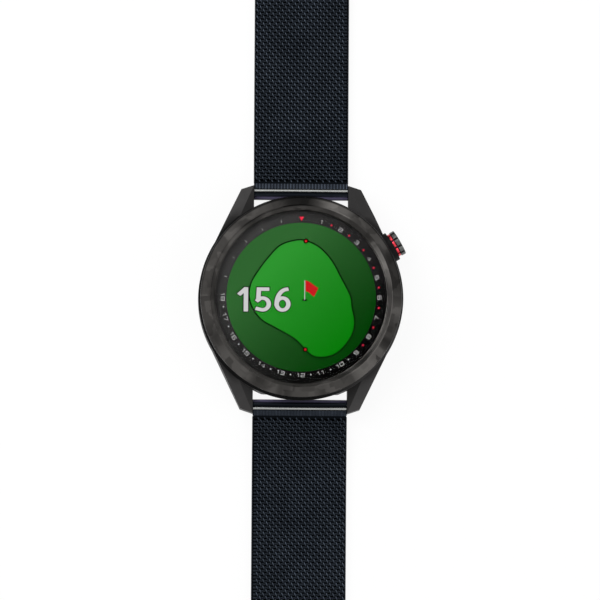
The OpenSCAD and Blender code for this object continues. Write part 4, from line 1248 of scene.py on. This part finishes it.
class GOLFWATCH_OT_strap_ends(bpy.types.Operator):
    """Strap ends: the polished bead and the ribbed strip on each end link."""

    bl_idname = "golfwatch.strap_ends"
    bl_label = "Strap ends"

    def execute(self, context):
        """The bead is a circle carried across the strap, and the strip a bar whose top rises in ribs."""
        weave = context.scene.golf_watch.weave
        # The bead is polished metal; its light colour is a painted highlight along the polished edge
        bright = grained("bead_polish_and_painted_highlight", (0.35, 0.36, 0.35), 1.0, 0.3, tone=0.5, bump=0.0, edge=0.02)
        dark = grained("strip_plate", (0.0145, 0.0175, 0.023), 1.0, 0.3, grain=0.15, tone=0.8, edge=0.03)
        half_width, mesh_top = span("upper_end_link", 0) / 2, span("upper_mesh_02", 2) / 2
        around = full_turn(16)[None, :]
        bend = np.sin(np.linspace(0, math.pi / 2, 6))
        inset, growth = weave.bead_radius * (1 - bend) * 0.6, bend * 0.75 + 0.25
        radius = weave.bead_radius * np.concatenate([growth, growth[::-1]])[:, None]
        across = np.concatenate([inset - half_width, (half_width - inset)[::-1]])[:, None]
        bead_along = weave.bead_at + radius * np.cos(around)
        bead_above = mesh_top + radius * np.sin(around)
        margin, rib_pitch, rib_rise = 0.1 * MM, 0.66 * MM, 0.06 * MM
        ribs = np.linspace(-half_width + margin, half_width - margin, 349)
        height = mesh_top + 0.03 * MM + rib_rise * np.abs(np.cos(ribs / rib_pitch * math.pi)) ** 0.5
        floor = np.full_like(height, mesh_top - 0.1 * MM)
        near, far = 1.22 * MM, 2.32 * MM
        corners = [(near, floor), (far, floor), (far, height), (near, height)]
        # Dark plates of painted shade fill the slits beside the end link
        sides = [(side * half_width, side * (half_width + 0.08 * MM)) for side in (-1, 1)]
        for half in HALVES:
            bead = capped_grid(strap_points(half, across, bead_along, bead_above))
            strip = np.stack([strap_points(half, ribs, along, above) for along, above in corners], 1)
            strip = capped_grid(strip)
            gap_shade_plates = [self.cheek(half, *ends, mesh_top) for ends in sides]
            pieces = [put_mesh(f"{half}_bead", [bead], bright, "bright_steel")]
            pieces.append(put_mesh(f"{half}_ribbed_strip", [strip], dark, "fitting_steel", sharp=30))
            pieces.append(put_mesh(f"{half}_cheeks", gap_shade_plates, dark, "fitting_steel", sharp=30))
            for piece in pieces:
                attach(piece, f"{half}_end")
        return {"FINISHED"}

    def cheek(self, half, near, far, mesh_top):
        """Thin dark plate of painted shade in the slit beside the end link, around a pin hole, shaped as
        the link's tube joined to its plate.

        The outline is a radius for each angle around the spring bar: the tube's, or where that is more the
        distance to the plate's end or to its faces.
        """
        barrel = span(f"{half}_bar_barrel", 2) / 2
        tube, hole, reach = barrel + 0.32 * MM, barrel - 0.1 * MM, 2.3 * MM
        count = 96
        angle = full_turn(count) + TURN / (2 * count)
        ahead, rise = np.maximum(np.cos(angle), 1e-6), np.abs(np.sin(angle))
        plate = np.minimum(reach / ahead, mesh_top / rise)
        outline = np.where(np.cos(angle) > 0, np.maximum(tube, plate), tube)
        bore = np.full_like(outline, hole)
        rows = [(outline, near), (outline, far), (bore, far), (bore, near)]
        points = [strap_points(half, across, r * np.cos(angle), r * np.sin(angle)) for r, across in rows]
        return ring_grid(np.stack(points))


class GOLFWATCH_OT_solids(bpy.types.Operator):
    """Finishes of the solids that are shown as they are, outside and inside."""

    bl_idname = "golfwatch.solids"
    bl_label = "Case, back, clasp and works"

    def execute(self, context):
        """Gives each solid the finish of what it is made of."""
        colours = context.scene.golf_watch.colours
        fitting = [0.9 * value for value in colours.strap]
        button = -np.array(JOINTS["button_press"]["axis"])
        dress(case_finish(colours.case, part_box("bezel")[1][0], button.tolist()), "mid_case")
        moulded = {"grain": 0.3, "tone": 0.4, "bump": 0.01, "edge": 0.15}
        dress(grained("back_moulded", (0.02, 0.02, 0.021), 0.0, 0.55, **moulded), "case_back")
        plated = {"grain": 0.3, "tone": 0.5, "rough_change": 0.15, "bump": 0.001, "edge": 0.16}
        clasp = grained("fitting_plated", fitting, 1.0, 0.24, **plated)
        dress(clasp, "upper_loop_holder", "loop_frame", "magnet_tab", "magnet_cover")
        bar = JOINTS["upper_swing"]["pos_m"][1]
        # The violet colour is the painted reflection on the side of the link's tube
        dress(link_finish(fitting, (0.14, 0.125, 0.22), bar), "upper_end_link", "lower_end_link")
        steel = grained("steel_bright", (0.5, 0.5, 0.5), 1.0, 0.3, grain=0.2, tone=0.3, edge=0.04)
        bar_parts = ("barrel", "fixed_pin", "release_pin", "spring")
        bars = [f"{half}_bar_{part}" for half in HALVES for part in bar_parts]
        dress(steel, "case_back_screws", "board_screws", "shield_can", "vibration_motor", "magnet", *bars)
        dress(steel, "button_bush", "button_spring", "button_stem", "button_clip")
        rubber = grained("rubber_seal", (0.01, 0.01, 0.01), 0.0, 0.7, grain=0.1)
        dress(rubber, "lens_gasket", "case_back_gasket", "button_seal")
        gold = grained("gold_plate", (0.75, 0.5, 0.18), 1.0, 0.25, grain=0.2)
        dress(gold, "charging_contacts", "gps_antenna", "battery_tab")
        dress(grained("board_mask", (0.01, 0.07, 0.025), 0.0, 0.35, grain=0.5, tone=0.9), "main_board")
        chip = grained("chip_moulding", (0.012, 0.012, 0.013), 0.0, 0.5, grain=0.08)
        dress(chip, "board_chips", "side_switch")
        dress(grained("frame_moulding", (0.08, 0.08, 0.085), 0.0, 0.5, grain=0.2), "display_frame")
        dress(grained("cell_foil", (0.3, 0.33, 0.36), 0.7, 0.3, grain=1.5, tone=0.5, bump=0.02), "battery")
        dress(grained("foam_pad", (0.03, 0.03, 0.03), 0.0, 0.9, grain=0.15, bump=0.05), "battery_pad")
        dress(grained("ribbon_film", (0.35, 0.13, 0.02), 0.0, 0.3, grain=0.6, tone=0.6), "display_flex")
        return {"FINISHED"}


class GOLFWATCH_OT_stage(bpy.types.Operator):
    """Stage: a pale floor, an even sky, two soft lamps and the camera."""

    bl_idname = "golfwatch.stage"
    bl_label = "Stage"

    def execute(self, context):
        """The sky and the floor show white to the camera, and in metal and glass, at any light level."""
        stage, scene = context.scene.golf_watch.stage, context.scene
        scene.view_settings.view_transform = "Standard"
        self.sky(scene, stage)
        self.floor()
        self.lamp("key_lamp", (-0.34, 0.26, 0.55), 0.5, stage.key_power)
        self.lamp("fill_lamp", (0.45, -0.2, 0.4), 0.6, stage.fill_power)
        sensor = 36
        distance = stage.frame_width * stage.focal_length / sensor
        turn = Euler((stage.tilt, -stage.lean, stage.roll))
        away = turn.to_matrix() @ Vector((0, 0, distance))
        camera = bpy.data.objects.new("camera", bpy.data.cameras.new("camera"))
        camera.data.lens = stage.focal_length
        camera.data.sensor_width = sensor
        camera.data.clip_start = 0.01
        camera.location = Vector((*stage.aim, stage.aim_height)) + away
        camera.rotation_euler = turn
        scene.collection.objects.link(camera)
        scene.camera = camera
        return {"FINISHED"}

    def sky(self, scene, stage):
        """World that is plain white where it is seen, and gives its own strength of light."""
        world = bpy.data.worlds.new("studio")
        world.use_nodes = True
        scene.world = world
        tree = world.node_tree
        seen = self.seen_rays(tree)
        strength = times_plus(tree, seen, 1 - stage.sky, stage.sky)
        tree.links.new(strength, tree.nodes["Background"].inputs["Strength"])
        tree.nodes["Background"].inputs["Color"].default_value = (1.0, 1.0, 1.0, 1.0)

    def seen_rays(self, tree):
        """One for camera, glossy and transmission rays, and nought for others."""
        rays = tree.nodes.new("ShaderNodeLightPath")
        kinds = ("Is Camera Ray", "Is Glossy Ray", "Is Transmission Ray")
        return largest(tree, *(rays.outputs[kind] for kind in kinds))

    def floor(self):
        """Flat square under the watch, white where it is seen, with a faint shadow."""
        half, depth = 2.0, 0.2 * MM
        square = np.array([(-half, -half), (half, -half), (half, half), (-half, half)])
        material, tree, shader = new_material("floor_pale")
        shader.inputs["Base Color"].default_value = (0.9, 0.9, 0.9, 1.0)
        shader.inputs["Roughness"].default_value = 0.9
        shader.inputs["Specular IOR Level"].default_value = 0.0
        glow = tree.nodes.new("ShaderNodeEmission")
        glow.inputs["Strength"].default_value = 1.0
        share = times(tree, self.seen_rays(tree), 0.92)
        mix_surface(tree, share, shader.outputs["BSDF"], glow.outputs["Emission"])
        put_mesh("floor", [prism(square, -2 * depth, -depth)], material, None)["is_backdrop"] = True

    def lamp(self, name, place, size, power):
        """Square soft lamp that points at the watch."""
        light = bpy.data.lights.new(name, "AREA")
        light.size = size
        light.energy = power
        lamp = bpy.data.objects.new(name, light)
        lamp.location = place
        lamp.rotation_euler = (-Vector(place)).to_track_quat("-Z", "Y").to_euler()
        lamp.visible_camera = False
        bpy.context.scene.collection.objects.link(lamp)


OPERATORS = (
    GOLFWATCH_OT_solids,
    GOLFWATCH_OT_bezel,
    GOLFWATCH_OT_lens,
    GOLFWATCH_OT_dial,
    GOLFWATCH_OT_screen,
    GOLFWATCH_OT_button,
    GOLFWATCH_OT_strap,
    GOLFWATCH_OT_strap_ends,
    GOLFWATCH_OT_stage,
)


class GOLFWATCH_PT_pieces(bpy.types.Panel):
    """Sidebar panel that lists the pieces of the golf watch."""

    bl_idname = "GOLFWATCH_PT_pieces"
    bl_label = "Golf Watch"
    bl_space_type = "VIEW_3D"
    bl_region_type = "UI"
    bl_category = "Golf Watch"

    def draw(self, context):
        """One button for each piece or group of pieces."""
        for operator in OPERATORS:
            self.layout.operator(operator.bl_idname)


CLASSES = (
    BezelSettings,
    DialSettings,
    WeaveSettings,
    ColourSettings,
    StageSettings,
    GolfWatchSettings,
    *OPERATORS,
    GOLFWATCH_PT_pieces,
)


def register():
    """Registers the classes and the scene's settings."""
    for item in CLASSES:
        bpy.utils.register_class(item)
    bpy.types.Scene.golf_watch = PointerProperty(type=GolfWatchSettings)


def unregister():
    """Removes the scene's settings and the classes."""
    del bpy.types.Scene.golf_watch
    for item in reversed(CLASSES):
        bpy.utils.unregister_class(item)


def main():
    """Builds every piece in order."""
    register()
    for operator in OPERATORS:
        group, name = operator.bl_idname.split(".")
        getattr(getattr(bpy.ops, group), name)()
    boxes = {"cad": CAD_BOX, "visual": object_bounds()}
    {key: [list(map(float, corner)) for corner in box] for key, box in boxes.items()}


if __name__ == "__main__":
    main()
